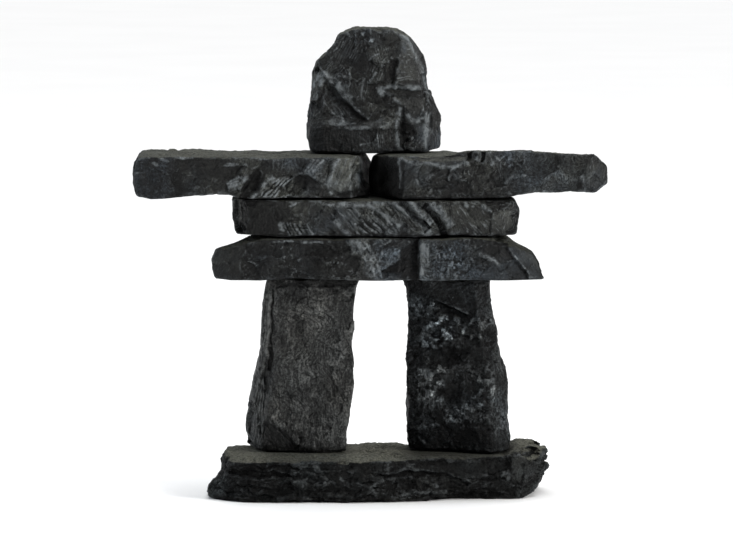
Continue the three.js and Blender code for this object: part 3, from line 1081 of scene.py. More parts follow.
@dataclass(frozen=True)
class Slate:
    """A finish of split black slate."""

    name: str
    slot: str
    dark: Colour = (0.0058, 0.006, 0.0056)
    body: Colour = (0.0176, 0.0184, 0.0162)
    cool: Colour = (0.016, 0.0205, 0.026)
    # The pale colour of bruised stone and painted highlights, the colour of dust with a painted sheen of
    # light on the tops, and how much of the pale colour ridges take.
    crushed_and_highlight: Colour = (0.165, 0.182, 0.19)
    dust: Colour = (0.062, 0.064, 0.053)
    crushed_and_highlight_share: float = 0.9
    patch: float = 0.018
    mottle: float = 0.0028
    roughness: tuple[float, float] = (0.42, 0.62)
    sheen: float = 0.22
    stretch: tuple[float, float, float] = (1.0, 1.0, 1.0)
    grain: float = 0.0007
    scratch: float = 0.3
    bump: float = 0.8
    cloud: float = 1.1
    speck: float = 1.6
    streak: float = 1.3
    # how much of the pale colour the painted glints take
    glint: float = 0.35

    def make(self, groups: Groups) -> bpy.types.Material:
        """Builds the material.

        Args:
            groups: the shared shader groups.

        Returns:
            The material.
        """
        material = bpy.data.materials.new(self.name)
        material.use_nodes = True
        board = Wiring(material.node_tree)
        shader = material.node_tree.nodes["Principled BSDF"]
        vector = board.add("ShaderNodeTexCoord").outputs["Object"]
        marks = {name: board.add("ShaderNodeAttribute", attribute_name=name).outputs["Fac"] for name in MARKS}
        tone = board.group(groups.tone, vector, patch_size=self.patch, mottle_size=self.mottle)
        wear_and_highlight = board.group(groups.wear_and_highlight, vector, ridge=marks["ridge"], marked=marks["light"])
        dust = board.group(groups.dust, vector, dust=marks["dust"])
        grain = board.group(
            groups.grain, vector, stretch=self.stretch, grain_size=self.grain, scratch=self.scratch,
        )
        streaks = board.group(groups.streaks, vector, way=marks["way"])

        colour = board.mixed(tone["Patch"], self.dark, self.body)
        colour = board.mixed(board.times(tone["Cool"], 0.7), colour, self.cool)
        mottle = board.sum("MULTIPLY_ADD", tone["Mottle"], self.cloud, 0.95 - 0.5 * self.cloud)
        coarse = board.ranged(marks["relief"], 0.05, 0.8, 0.2, 1.0)
        speck = board.times(board.sum("SUBTRACT", tone["Speck"], 0.5), coarse)
        speck = board.sum("MULTIPLY_ADD", speck, self.speck, 1.05)
        streak = board.times(board.sum("SUBTRACT", streaks["Streak"], 0.5), coarse)
        streak = board.sum("MULTIPLY_ADD", streak, self.streak, 1.0)
        facet = board.ranged(marks["facet"], 0.0, 1.0, 0.6, 1.45)
        toned = board.sum("POWER", TONE_STEP, marks["tone"])
        # Painted shade: hollows, grooves and the foot of ledges are darkened.
        hollow = board.sum("MAXIMUM", marks["hollow"], marks["dark"])
        shade = board.times(mottle, speck, facet, streak, toned, board.ranged(hollow, 0.0, 1.0, 1.0, 0.35))
        colour = board.mixed(1.0, colour, board.alike("ShaderNodeCombineColor", shade), "MULTIPLY")
        # Painted glints: the brightest streaks take the pale colour where the tone is light. The pale colour
        # of bruised stone and painted highlights on ridges and pale marks is kept off stone painted in deep
        # shade.
        bright = board.ranged(marks["tone"], -0.9, 0.6)
        glint = board.times(streaks["Glint"], bright, self.glint)
        lit = board.ranged(marks["tone"], -2.0, -0.9, 0.0, self.crushed_and_highlight_share)
        crushed_and_highlight = board.sum("MAXIMUM", board.times(wear_and_highlight["Mask"], lit), glint)
        colour = board.mixed(crushed_and_highlight, colour, self.crushed_and_highlight)
        # Dust, with a painted sheen of the light on the tops, where the stone faces up.
        speckle = board.alike("ShaderNodeCombineColor", board.ranged(tone["Speck"], 0.0, 1.0, 0.6, 1.4))
        colour = board.mixed(dust["Mask"], colour, board.mixed(1.0, self.dust, speckle, "MULTIPLY"))
        board.plug(shader.inputs["Base Color"], colour)

        rough = board.ranged(tone["Mottle"], 0.0, 1.0, *self.roughness)
        rough = board.sum("MULTIPLY_ADD", dust["Mask"], 0.25, rough)
        rough = board.sum("MULTIPLY_ADD", hollow, 0.15, rough)
        board.plug(shader.inputs["Roughness"], board.add("ShaderNodeClamp", {0: rough}).outputs[0])
        board.plug(shader.inputs["Specular IOR Level"], self.sheen)
        height = board.sum("MULTIPLY_ADD", streaks["Streak"], 0.35, grain["Height"])
        bump = board.add("ShaderNodeBump", {"Strength": self.bump, "Distance": MM, "Height": height})
        board.plug(shader.inputs["Normal"], bump.outputs["Normal"])
        return material


class Workshop:
    """What the stones share: the relief tree, the shader groups and the materials made so far."""

    def __init__(self) -> None:
        """Builds the shared trees."""
        self.relief = ReliefTree()
        self.groups = Groups()
        self.materials: dict[str, bpy.types.Material] = {}

    def material(self, finish: Slate) -> bpy.types.Material:
        """Makes a finish once, and hands it out after that.

        Args:
            finish: the finish.

        Returns:
            Its material.
        """
        if finish.name not in self.materials:
            self.materials[finish.name] = finish.make(self.groups)
        return self.materials[finish.name]


class Side(Enum):
    """Which end of a stone meets a neighbour on the same bed."""

    NONE = 0
    LEFT = -1
    RIGHT = 1


@dataclass
class Stone:
    """A stone that stands for one node of the frame. Lengths are in millimetres, angles in degrees."""

    node: str
    finish: Slate
    relief: Relief
    seed: int
    tools: tuple[Tool, ...]
    above: tuple[str, ...] = ()
    voxel: float = 0.66
    rounds: int = 5
    swell: float = 0.25
    ridge_span: float = 0.5
    fine_span: float = 0.09
    way: float = 90.0
    drift: float = 35.0
    dust_and_sheen_stops: Stops = (0, 1, 100, 1)
    inner: Side = Side.NONE
    # How far in along an arm its inner end is painted in shade, in millimetres.
    shaded: float = 22.0

    @staticmethod
    def box(node: str) -> Box:
        """The lowest and the highest corner of a node's box."""
        low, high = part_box(node)
        return np.array(low) / MM, np.array(high) / MM

    def remeshed(self) -> bpy.types.Object:
        """Copies the node's solid as one closed, finely and evenly divided mesh.

        Returns:
            The copy, with its spacing halved where it faces the front.
        """
        piece = bpy.data.objects.new(f"{self.node}_split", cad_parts[self.node].data.copy())
        bpy.context.scene.collection.objects.link(piece)
        weld = piece.modifiers.new("Weld", "WELD")
        weld.merge_threshold = WELD
        remesh = piece.modifiers.new("Remesh", "REMESH")
        remesh.mode = "VOXEL"
        remesh.voxel_size = self.voxel * MM
        remesh.use_smooth_shade = True
        self.bake(piece)
        work = bmesh.new()
        work.from_mesh(piece.data)
        edges = {edge for face in work.faces if face.normal.y < FRONTAL for edge in face.edges}
        bmesh.ops.subdivide_edges(work, edges=list(edges), cuts=1, use_grid_fill=True)
        work.to_mesh(piece.data)
        work.free()
        return piece

    @staticmethod
    def bake(piece: bpy.types.Object) -> None:
        """Turns what a piece's modifiers make into its plain mesh.

        Args:
            piece: the piece, whose old mesh goes.
        """
        bpy.context.view_layer.update()
        evaluated = piece.evaluated_get(bpy.context.evaluated_depsgraph_get())
        mesh = bpy.data.meshes.new_from_object(evaluated)
        piece.modifiers.clear()
        old = piece.data
        piece.data = mesh
        bpy.data.meshes.remove(old)

    def build(self, shop: Workshop) -> bpy.types.Object:
        """Makes, carves, roughens and dresses the stone.

        Args:
            shop: the shared trees and materials.

        Returns:
            The finished piece.
        """
        piece = self.remeshed()
        surface = Surface(piece.data, self.box(self.node))
        solid = self.carve(surface)
        self.roughen(piece, shop)
        surface = Surface(piece.data, self.box(self.node))
        self.settle(surface, solid)
        self.weather(surface)
        surface.write()
        piece.data.polygons.foreach_set("use_smooth", np.ones(len(piece.data.polygons), bool))
        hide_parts(self.node)
        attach(piece, BODY)
        log.info("%s: %d faces for %s", piece.name, len(piece.data.polygons), self.node)
        return piece

    def carve(self, surface: Surface) -> np.ndarray:
        """Rounds, strikes and carves the stone, and keeps what the relief and the finish need.

        Args:
            surface: the stone's surface.

        Returns:
            The points before the scars.
        """
        kept = surface.points.copy()
        surface.points = surface.smoothed(self.rounds)
        normals = surface.normals()
        seats = np.maximum(self.seats(surface), self.inner_end(surface, normals, END_REACH))
        surface.points += self.swell * (1.0 - seats)[:, None] * normals
        reach = self.filled(surface)
        surface.points[:, 0] += reach
        kept[:, 0] += reach
        solid = surface.points.copy()
        struck(surface, self.relief, self.seed)
        surface.points = surface.points * (1.0 - seats)[:, None] + kept * seats[:, None]
        front = Front(surface, self.way, self.drift, self.seed)
        for tool in self.tools:
            tool.cut(front)
        surface.points[:, 1] = np.maximum(surface.points[:, 1], surface.low[1] - FRONT_ROOM)
        # Painted shade on an arm's inner end, where the other arm and the head shade it.
        front.tone -= INNER_SHADE * self.inner_end(surface, normals, self.shaded)
        surface.store("relief", surface.averaged(front.relief * (1.0 - seats), 2))
        surface.store("light", np.clip(front.light, 0.0, 1.0))
        surface.store("dark", np.clip(front.dark, 0.0, 1.0))
        surface.store("tone", front.tone)
        surface.store("way", front.way)
        surface.write()
        return solid

    def roughen(self, piece: bpy.types.Object, shop: Workshop) -> None:
        """Puts the relief and the material on.

        Args:
            piece: the carved piece.
            shop: the shared trees and materials.
        """
        material = shop.material(self.finish)
        relief = piece.modifiers.new("Relief", "NODES")
        relief.node_group = shop.relief.tree
        for identifier, value in shop.relief.settings(self.relief, self.seed, material).items():
            relief[identifier] = value
        self.bake(piece)
        piece.data.materials.clear()
        piece.data.materials.append(material)

    def from_end(self, surface: Surface, points: np.ndarray) -> np.ndarray:
        """How far points lie from the end that nearly touches the other arm."""
        end = surface.high if self.inner is Side.RIGHT else surface.low
        return self.inner.value * (end[0] - points[:, 0])

    def inner_end(self, surface: Surface, normals: np.ndarray, reach: float) -> np.ndarray:
        """Finds the end that nearly touches the other arm, where there is one.

        Args:
            surface: the stone's surface.
            normals: its outward directions.
            reach: how far it goes along the stone.

        Returns:
            1 on that end and 0 elsewhere.
        """
        if self.inner is Side.NONE:
            return np.zeros(surface.count)
        near = smoothstep(reach, 0.6 * reach, self.from_end(surface, surface.points))
        return near * smoothstep(*END_FACING, self.inner.value * normals[:, 0])

    def filled(self, surface: Surface) -> np.ndarray:
        """How far points go out along the stone to fill a corner: nowhere here."""
        return np.zeros(surface.count)

    def seats(self, surface: Surface) -> np.ndarray:
        """Finds where the stone touches another or the ground.

        Args:
            surface: the stone's surface.

        Returns:
            1 on the seats and 0 elsewhere.
        """
        points = surface.points
        seats = smoothstep(*SEAT_HEIGHT, points[:, 2] - surface.low[2])
        for name in self.above:
            near, far = self.box(name)
            inside = np.ones(surface.count)
            for axis in (0, 1):
                inside *= smoothstep(*SEAT_EDGE, near[axis] - points[:, axis])
                inside *= smoothstep(*SEAT_EDGE, points[:, axis] - far[axis])
            seats = np.maximum(seats, inside * smoothstep(*SEAT_HEIGHT, near[2] - points[:, 2]))
        return seats

    def settle(self, surface: Surface, solid: np.ndarray) -> None:
        """Holds the stone within its own room, so that no two stones cut into each other.

        Args:
            surface: the roughened surface.
            solid: its points before the scars.
        """
        points = surface.points
        points[:, 2] = np.maximum(points[:, 2], surface.low[2])
        for name in self.above:
            near, far = self.box(name)
            over = (points[:, :2] > near[:2] - UNDER_REACH) & (points[:, :2] < far[:2] + UNDER_REACH)
            under = np.all(over, axis=1) & (solid[:, 2] < near[2])
            limit = np.maximum(near[2] - JOINT, solid[:, 2])
            points[:, 2] = np.where(under, np.minimum(points[:, 2], limit), points[:, 2])
        if self.inner is not Side.NONE:
            bound = np.minimum if self.inner is Side.RIGHT else np.maximum
            close = self.from_end(surface, solid) < END_REACH
            points[:, 0] = np.where(close, bound(points[:, 0], solid[:, 0]), points[:, 0])

    def weather(self, surface: Surface) -> None:
        """Marks ridges, which take bruised stone and painted highlights, hollows, which take painted shade,
        and dust with a painted sheen, for the material.

        Args:
            surface: the finished surface.
        """
        low, high = surface.low, surface.high
        normals = surface.normals()
        near = surface.averaged(surface.points, 8)
        fine = np.sum((surface.points - near) * normals, axis=1)
        broad = np.sum((surface.points - surface.averaged(near, 50)) * normals, axis=1)
        proud = fine / self.fine_span + broad / self.ridge_span
        # ridges are painted paler, as bruised stone and painted highlights, and hollows are painted in shade
        surface.store("ridge", smoothstep(0.5, 2.0, proud))
        surface.store("hollow", smoothstep(-0.3, -1.8, proud))
        # upward faces near the top take dust with a painted sheen, as the stops along the stone allow
        upward = surface.averaged(normals[:, 2], 4)
        across = 100.0 * (surface.points[:, 0] - low[0]) / (high[0] - low[0])
        risen = smoothstep(0.5, 0.7, (surface.points[:, 2] - low[2]) / (high[2] - low[2]))
        dust_and_sheen_share = np.interp(across, self.dust_and_sheen_stops[::2], self.dust_and_sheen_stops[1::2])
        surface.store("dust", smoothstep(0.5, 0.92, upward) * risen * dust_and_sheen_share)


BASE_SLATE = Slate(
    "Slate base", "base_stone", dark=(0.0024, 0.0025, 0.0023), body=(0.0062, 0.0064, 0.006),
    cool=(0.0115, 0.0137, 0.0142), crushed_and_highlight=(0.07, 0.076, 0.078), dust=(0.105, 0.105, 0.086), sheen=0.12,
    streak=0.8, speck=1.2, glint=0.08,
)
LEFT_LEG_SLATE = Slate(
    "Slate left leg", "leg_stone", dark=(0.024, 0.0241, 0.0227), body=(0.036, 0.0362, 0.0338),
    cool=(0.0297, 0.0318, 0.0316), crushed_and_highlight=(0.125, 0.13, 0.126), stretch=(1.0, 1.0, 0.45), mottle=0.002,
    cloud=0.8, streak=1.4, glint=0.2,
)
RIGHT_LEG_SLATE = Slate(
    "Slate right leg", "leg_stone", dark=(0.0085, 0.0091, 0.0091), body=(0.0235, 0.0252, 0.0254),
    cool=(0.0205, 0.0245, 0.0272), crushed_and_highlight=(0.115, 0.127, 0.133), sheen=0.16, mottle=0.0048, cloud=1.7,
    glint=0.25,
)
SLAB_SLATE = Slate("Slate arms", "slab_stone")
WAIST_SLATE = Slate(
    "Slate waist", "slab_stone", dark=(0.0042, 0.0044, 0.0042), body=(0.0172, 0.0181, 0.016), cloud=1.3,
    streak=2.1, glint=0.6,
)
LINTEL_SLATE = Slate(
    "Slate lintel", "slab_stone", dark=(0.0042, 0.0044, 0.0042), body=(0.0146, 0.0153, 0.0136),
    cool=(0.0136, 0.0178, 0.0228), cloud=1.2,
)
HEAD_SLATE = Slate("Slate head", "head_stone", dark=(0.0048, 0.005, 0.0048), streak=1.7, glint=0.6)


# How much dust, with its painted sheen, the slab's top takes over percent of its length.
BASE_DUST_AND_SHEEN: Stops = (0, 1, 14, 1, 20, 0.55, 38, 0.6, 43, 1.1, 56, 1, 61, 0.4, 88, 0.45, 92, 1)

# The ledges, lens and ridge along the front.
BASE_CARVING: Carving = (
    Shade((
        0, 0.5, 4, 0.6, 6, 0, 8, -0.5, 24, -0.35, 27, 0.15, 35, 0.1, 40, -0.05, 52, -0.1, 60, -0.3,
        76, -0.3, 84, -0.35, 88, 0.3, 91, 0.6, 100, 0.6,
    )),
    # the left end and the dark scar beside it
    Speckled((3.5, 38), (4.6, 4.6), tone=1, lump=1, rise=0.4),
    Facet((6.6, 60, 9, 72, 14, 80, 24, 78, 24.4, 66, 24, 52, 14, 51, 8, 53), depth=1, pitch=-12, tone=-1.1,
          calm=0.4, way=10),
    Patch((21, 66), (3, 1.6), tone=-0.6),
    Ledge((25, 82, 18, 80, 12, 81, 7, 74), drop=0.5, run=2.4, lip=0.3, pale=0.3, fade=0.04),
    Patch((8, 49), (4.4, 0.9), tone=0.1, calm=0.6),
    Speckled((12, 38), (9, 2.4), tone=0.8),
    Speckled((22, 35), (4.4, 2.4), tone=1.4, lump=0.9),
    # the pale flakes left of the middle
    Rib((25.6, 44, 27.6, 46, 29.6, 49), width=0.6, rise=0.4, pale=0.8),
    Rib((25.4, 28, 27, 34, 29, 42), width=0.6, rise=0.4, pale=0.7),
    Facet((25, 44, 29, 46, 29, 26, 26, 25), depth=-0.2, tone=0.55, way=50),
    Speckled((26.6, 62), (2.6, 2.6), tone=1.2, lump=0.9),
    Patch((32, 71), (2, 1.3), tone=0.9, turn=-35, pale=0.7),
    Patch((33, 62), (1.6, 1.2), tone=0.9, turn=-35, pale=0.7),
    Rib((28, 74, 30, 78, 33, 83, 36, 79), rise=0.35, pale=0.6, fade=0.2),
    Ledge((28.4, 66, 31, 60, 33.4, 56, 35.4, 51), drop=0.6, run=2.4, pale=0.5, fade=0.05),
    *(Rib((30.4 + shift, 32, 32 + shift, 38, 33.6 + shift, 46), width=0.4, pale=0.55, fade=0.06)
      for shift in (0, 1.2, 2.6)),
    Facet((28.6, 26, 34, 24, 35, 12, 29, 10), depth=0.3, tone=-0.4, calm=0.4, way=0),
    Rib((36, 46, 37.6, 40, 36.4, 32), width=0.4, pale=0.4, fade=0.2),
    Rib((38.6, 49, 40, 42, 41.4, 36), width=0.6, rise=0.4, pale=0.7, fade=0.06),
    Facet((35, 80, 42, 80, 42, 54, 36, 52), depth=0.1, calm=0.5, way=20),
    Facet((42.4, 76, 46.6, 76, 46.6, 48, 42.4, 50), tone=0.1, calm=0.7, way=80),
    Rib((42, 36, 43.2, 42, 45, 37, 47, 31, 49, 38, 51.6, 45), width=0.6, rise=0.4, pale=0.8, fade=0.04,
        whole=0.3),
    # the long ledge, with painted shade in the hollow under it
    Rib((51.6, 45, 54, 48, 57, 50, 60, 49), width=0.4, rise=0.25, pale=0.4),
    Ledge((77, 33, 74.6, 43, 72, 50, 69, 57, 66, 58, 63, 61, 60, 65, 57, 64, 55, 59, 50, 57), drop=1.6,
          run=4.2, pale=0.7, fade=0.03, hollow=1.2),
    Facet((50, 57, 57, 63, 61, 64, 68, 56, 62, 50, 54, 50), depth=0.4, tone=-0.9, calm=0.4, way=0),
    Facet((52, 44, 60, 44, 60, 26, 57, 24, 52, 10), depth=0.2, tone=-0.25, calm=0.5, way=80),
    Facet((56, 32, 61, 44, 61, 24, 57, 22), depth=0.3, tone=-0.9, calm=0.3),
    Facet((61, 50, 70, 50, 70, 26, 61, 24), depth=-0.1, tone=0.15, way=20),
    Patch((64, 38), (0.9, 0.9), tone=0.8, pale=0.7),
    Patch((66.4, 32), (1.3, 0.9), tone=0.9, turn=-30, pale=0.9),
    Speckled((66, 38), (5, 2.2), tone=0.7),
    Rib((53, 78, 52.4, 68, 53.6, 61), width=0.6, pale=0.6, fade=0.06),
    Rib((55, 60, 57.4, 66, 58, 74, 61, 78), rise=0.35, pale=0.7),
    Patch((59, 73), (2.2, 0.9), tone=0.5, pale=0.4),
    Rib((56.6, 12, 58.4, 18, 61, 22, 64, 18, 68, 17, 70, 21), width=0.6, rise=0.5, pale=0.9, fade=0.04,
        whole=0.4),
    Patch((58.4, 15), (1.4, 0.8), tone=1, turn=20, pale=1),
    Rib((70.6, 54, 73, 48, 75.4, 41, 77, 33), width=0.6, rise=0.35, pale=0.8),
    # painted shade in the undercut at the bottom right
    Facet((70, 20, 78, 22, 90, 26, 90, 8, 70, 8), depth=0.4, tone=-1.1, calm=0.4, way=0),
    Facet((78, 42, 84, 48, 88, 28, 84, 24, 78, 24), depth=0.2, tone=-0.6, calm=0.3, way=30),
    # the smooth face and the broken right end
    Facet((62, 76, 84, 78, 84, 56, 76, 48, 70, 58, 62, 64), depth=0.1, tone=-0.1, calm=0.75, way=30),
    Rib((78.6, 46, 81, 52, 83, 50, 83.4, 44), rise=0.35, pale=0.6),
    Patch((87, 54), (1.2, 1), tone=1, pale=0.9),
    Patch((88, 43), (1, 1.2), tone=1, turn=-50, pale=0.9),
    Speckled((86, 50), (3.2, 3), tone=0.9),
    Facet((88.4, 84, 93, 88, 94, 74, 92, 30, 88.6, 34), depth=-0.1, yaw=6, tone=0.55, calm=0.6, way=60),
    Facet((93, 74, 99, 72, 96, 36, 92, 24), depth=0.1, yaw=16, tone=0.35, calm=0.4, way=60),
    Rib((88.6, 88, 91, 90, 93.4, 86), width=0.6, pale=0.7, fade=0.2),
    # the notch between the lobes, painted in shade
    Facet((93.4, 96, 97.6, 96, 97, 80, 94, 82), depth=1.2, tone=-1.4),
    # the foot, in shadow
    Facet((2, 10, 50, 10, 50, -4, 2, -4), depth=0.4, pitch=-16, tone=-0.9, way=0),
)


class BaseSlab(Stone):
    """The ragged slab under the legs, with its layers showing along the front."""

    def __init__(self) -> None:
        """Sets the slab's sizes."""
        relief = Relief(flake=(13.0, 9.0, 4.0), flake_depth=0.55, layer=1.3, layer_depth=0.5)
        super().__init__(
            "base_slab", BASE_SLATE, relief, 11, BASE_CARVING, ("left_leg", "right_leg"), way=5.0,
            dust_and_sheen_stops=BASE_DUST_AND_SHEEN,
        )


# The long edge between front and side, and the slots in it.
LEFT_LEG_CARVING: Carving = (
    # the split strip on the left, whose fibres spread towards the foot
    Facet((10, 100, 25, 100, 24, 62, 20, 40, 21, 0, 0, 0), tone=-0.1, way=83),
    Rib((22.4, 94, 21.6, 80, 20.4, 66, 18.6, 54), width=0.6, rise=0.35, fade=0.04, whole=0.8),
    Rib((19.8, 92, 18.4, 74, 16.6, 58), width=0.35, rise=0.25, pale=0.7, fade=0.04),
    Groove((25, 95, 24.6, 80, 23.4, 62), width=0.5, depth=0.6, shade=0.8, fade=0.04),
    Groove((19.4, 90, 18, 74, 15.6, 58), width=0.35, depth=0.4, shade=0.7, fade=0.04),
    Groove((22.4, 62, 23.6, 55, 21.6, 46), width=1, depth=1.3, fade=0.1),
    Groove((18.8, 44, 19.6, 39, 18.8, 33), width=0.8, depth=1.2, fade=0.1),
    *(Rib((17.4 - 0.9 * step, 56 - 3 * step, 15.8 - 2.1 * step, 34, 15 - 2.9 * step, 8), rise=0.35,
          pale=0.75, whole=0.4) for step in range(4)),
    *(Groove((18.4 - 0.9 * step, 52 - 3 * step, 17 - 2.1 * step, 32, 16.4 - 2.9 * step, 6), width=0.4,
             depth=0.5, shade=0.8, fade=0.05) for step in range(4)),
    # the even face, with painted shadow under the lintel's overhang, and darker at the foot
    Facet((26, 101, 98, 101, 98, 96, 70, 95, 40, 96, 28, 94), depth=0.4, tone=-0.9, calm=0.1, way=0),
    Facet((80, 96, 99, 99, 95, 92), depth=0.2, tone=-0.7, calm=0.1),
    Patch((58, 78), (10, 14), tone=0.12),
    Patch((50, 30), (10, 12), tone=-0.08),
    Facet((14, 0, 18, 17, 31, 13, 44, 5, 62, 0), depth=0.3, tone=-1.5, way=-50),
    Patch((33, 9), (5.4, 3), tone=-1, turn=-35),
    Facet((0, -1, 92, -1, 92, 2.4, 40, 3, 4, 4), depth=0.3, tone=-0.9, calm=0.1, way=0),
)


class LeftLeg(Stone):
    """The upright stone with long fibres and a splayed left side."""

    def __init__(self) -> None:
        """Sets the leg's sizes."""
        relief = Relief(
            flake=(7.0, 7.0, 13.0), flake_depth=0.35, grain=(1.5, 1.5, 3.2), grain_depth=0.3, layer_depth=0.0,
        )
        super().__init__(
            "left_leg", LEFT_LEG_SLATE, relief, 23, LEFT_LEG_CARVING, ("lintel",), way=88.0, drift=8.0,
        )


# How much of their given tones the right leg's pale lumps take, so that together they aren't too bright.
LUMP_TONE = 0.8

# The crack and the faint ledges below it.
RIGHT_LEG_CARVING: Carving = (
    Shade((0, 0.15, 80, 0.15, 86, 0.35, 100, 0.35)),
    # smoother over the crack, with painted shadow under the lintel and painted shade in the hollow under the
    # crack
    Facet((3, 101, 82, 101, 80, 86, 60, 80, 32, 88, 6, 89), depth=0.2, tone=-0.55, calm=0.3, way=30),
    Ledge((61, 79, 56, 81.4, 48, 83, 40, 84.6, 31, 87), drop=2, run=5, lip=0.4, pale=0.8, fade=0.06),
    Groove((30, 87, 40, 84, 50, 82.2, 57, 80.6, 60, 78.6), width=0.6, depth=1, fade=0.06),
    Facet((41, 82, 57, 80, 56, 75, 43, 76), depth=0.4, tone=-0.9, calm=0.4),
    # pale lumps in bands, with darker stone between
    Facet((8, 60, 84, 60, 76, 51, 6, 49), depth=0.4, tone=-0.55, calm=0.1),
    *(Speckled(place, reach, tone=LUMP_TONE * tone, lump=lump, rise=height, share=0.2)
      for place, reach, tone, lump, height in (
          ((22, 82), (7, 4.6), 1.2, 1.5, 0.25), ((60, 72), (13.5, 6.8), 1.8, 1.7, 0.45),
          ((34, 70), (8, 6.4), 1.6, 1.7, 0.45), ((24, 63), (8, 3.6), 1.7, 1.5, 0.25),
          ((9, 57), (3.4, 2.6), 0.9, 1, 0.25), ((74, 63), (5, 4), 1, 1.1, 0.25),
          ((29, 45), (8, 5), 1.8, 1.7, 0.45), ((76, 42), (8, 5), 1.6, 1.7, 0.45),
          ((20, 34), (6, 5), 1.6, 1.5, 0.25), ((34, 34), (5.6, 4.4), 1.6, 1.7, 0.25),
          ((80, 34), (7, 5), 1.6, 1.5, 0.25), ((62, 27), (7, 4.6), 1.4, 1.5, 0.25),
          ((12, 18), (4, 3.6), 1, 1.1, 0.25), ((48, 22), (6, 3), 1.1, 1.3, 0.25),
          ((82, 22), (5, 4), 0.8, 1.2, 0.25),
      )),
    Patch((84, 42), (1.4, 1.6), tone=1, pale=0.6),
    Patch((24, 34), (1.4, 2), tone=1, pale=0.6),
    Patch((24, 45), (2.2, 2.2), tone=0.8, pale=0.4),
    Patch((48, 34), (4, 6), tone=-0.6),
    Patch((64, 37), (3, 3.6), tone=-0.7),
    Patch((36, 22), (3.4, 4.6), tone=-0.8),
    Patch((54, 45), (3, 3), tone=-0.5),
    Scoop((30, 64), (4, 3.4), depth=0.9, shade=0.2),
    Scoop((52, 58), (5, 3.4), depth=1, turn=20, shade=0.3),
    Scoop((70, 50), (4.4, 4.4), depth=0.9, turn=-30, shade=0.2),
    Scoop((46, 28), (4.4, 3.6), depth=0.9, shade=0.2),
    # the foot, nearly black
    Facet((3, 12, 28, 13, 40, 17, 60, 18, 84, 16, 86, -1, 3, -1), depth=0.3, tone=-1.4, calm=0.1, way=0),
    Rib((14, 9, 18, 6, 22, 4), width=0.8, rise=0.4, pale=0.9, fade=0.08, whole=0.6),
    Facet((86, 48, 97, 44, 99, 0, 87, 0), tone=0.05, way=90),
    Facet((84, 10, 100, 10, 100, -1, 84, -1), tone=-0.6, calm=0.1),
)


class RightLeg(Stone):
    """The pitted upright stone with a crack near its top."""

    def __init__(self) -> None:
        """Sets the leg's sizes."""
        relief = Relief(
            flake=(8.0, 8.0, 8.0), grain=(2.0, 2.0, 2.2), grain_depth=0.34, layer_depth=0.0, pit=3.0,
            pit_depth=0.5,
        )
        super().__init__(
            "right_leg", RIGHT_LEG_SLATE, relief, 37, RIGHT_LEG_CARVING, ("lintel",), way=60.0, drift=50.0,
        )


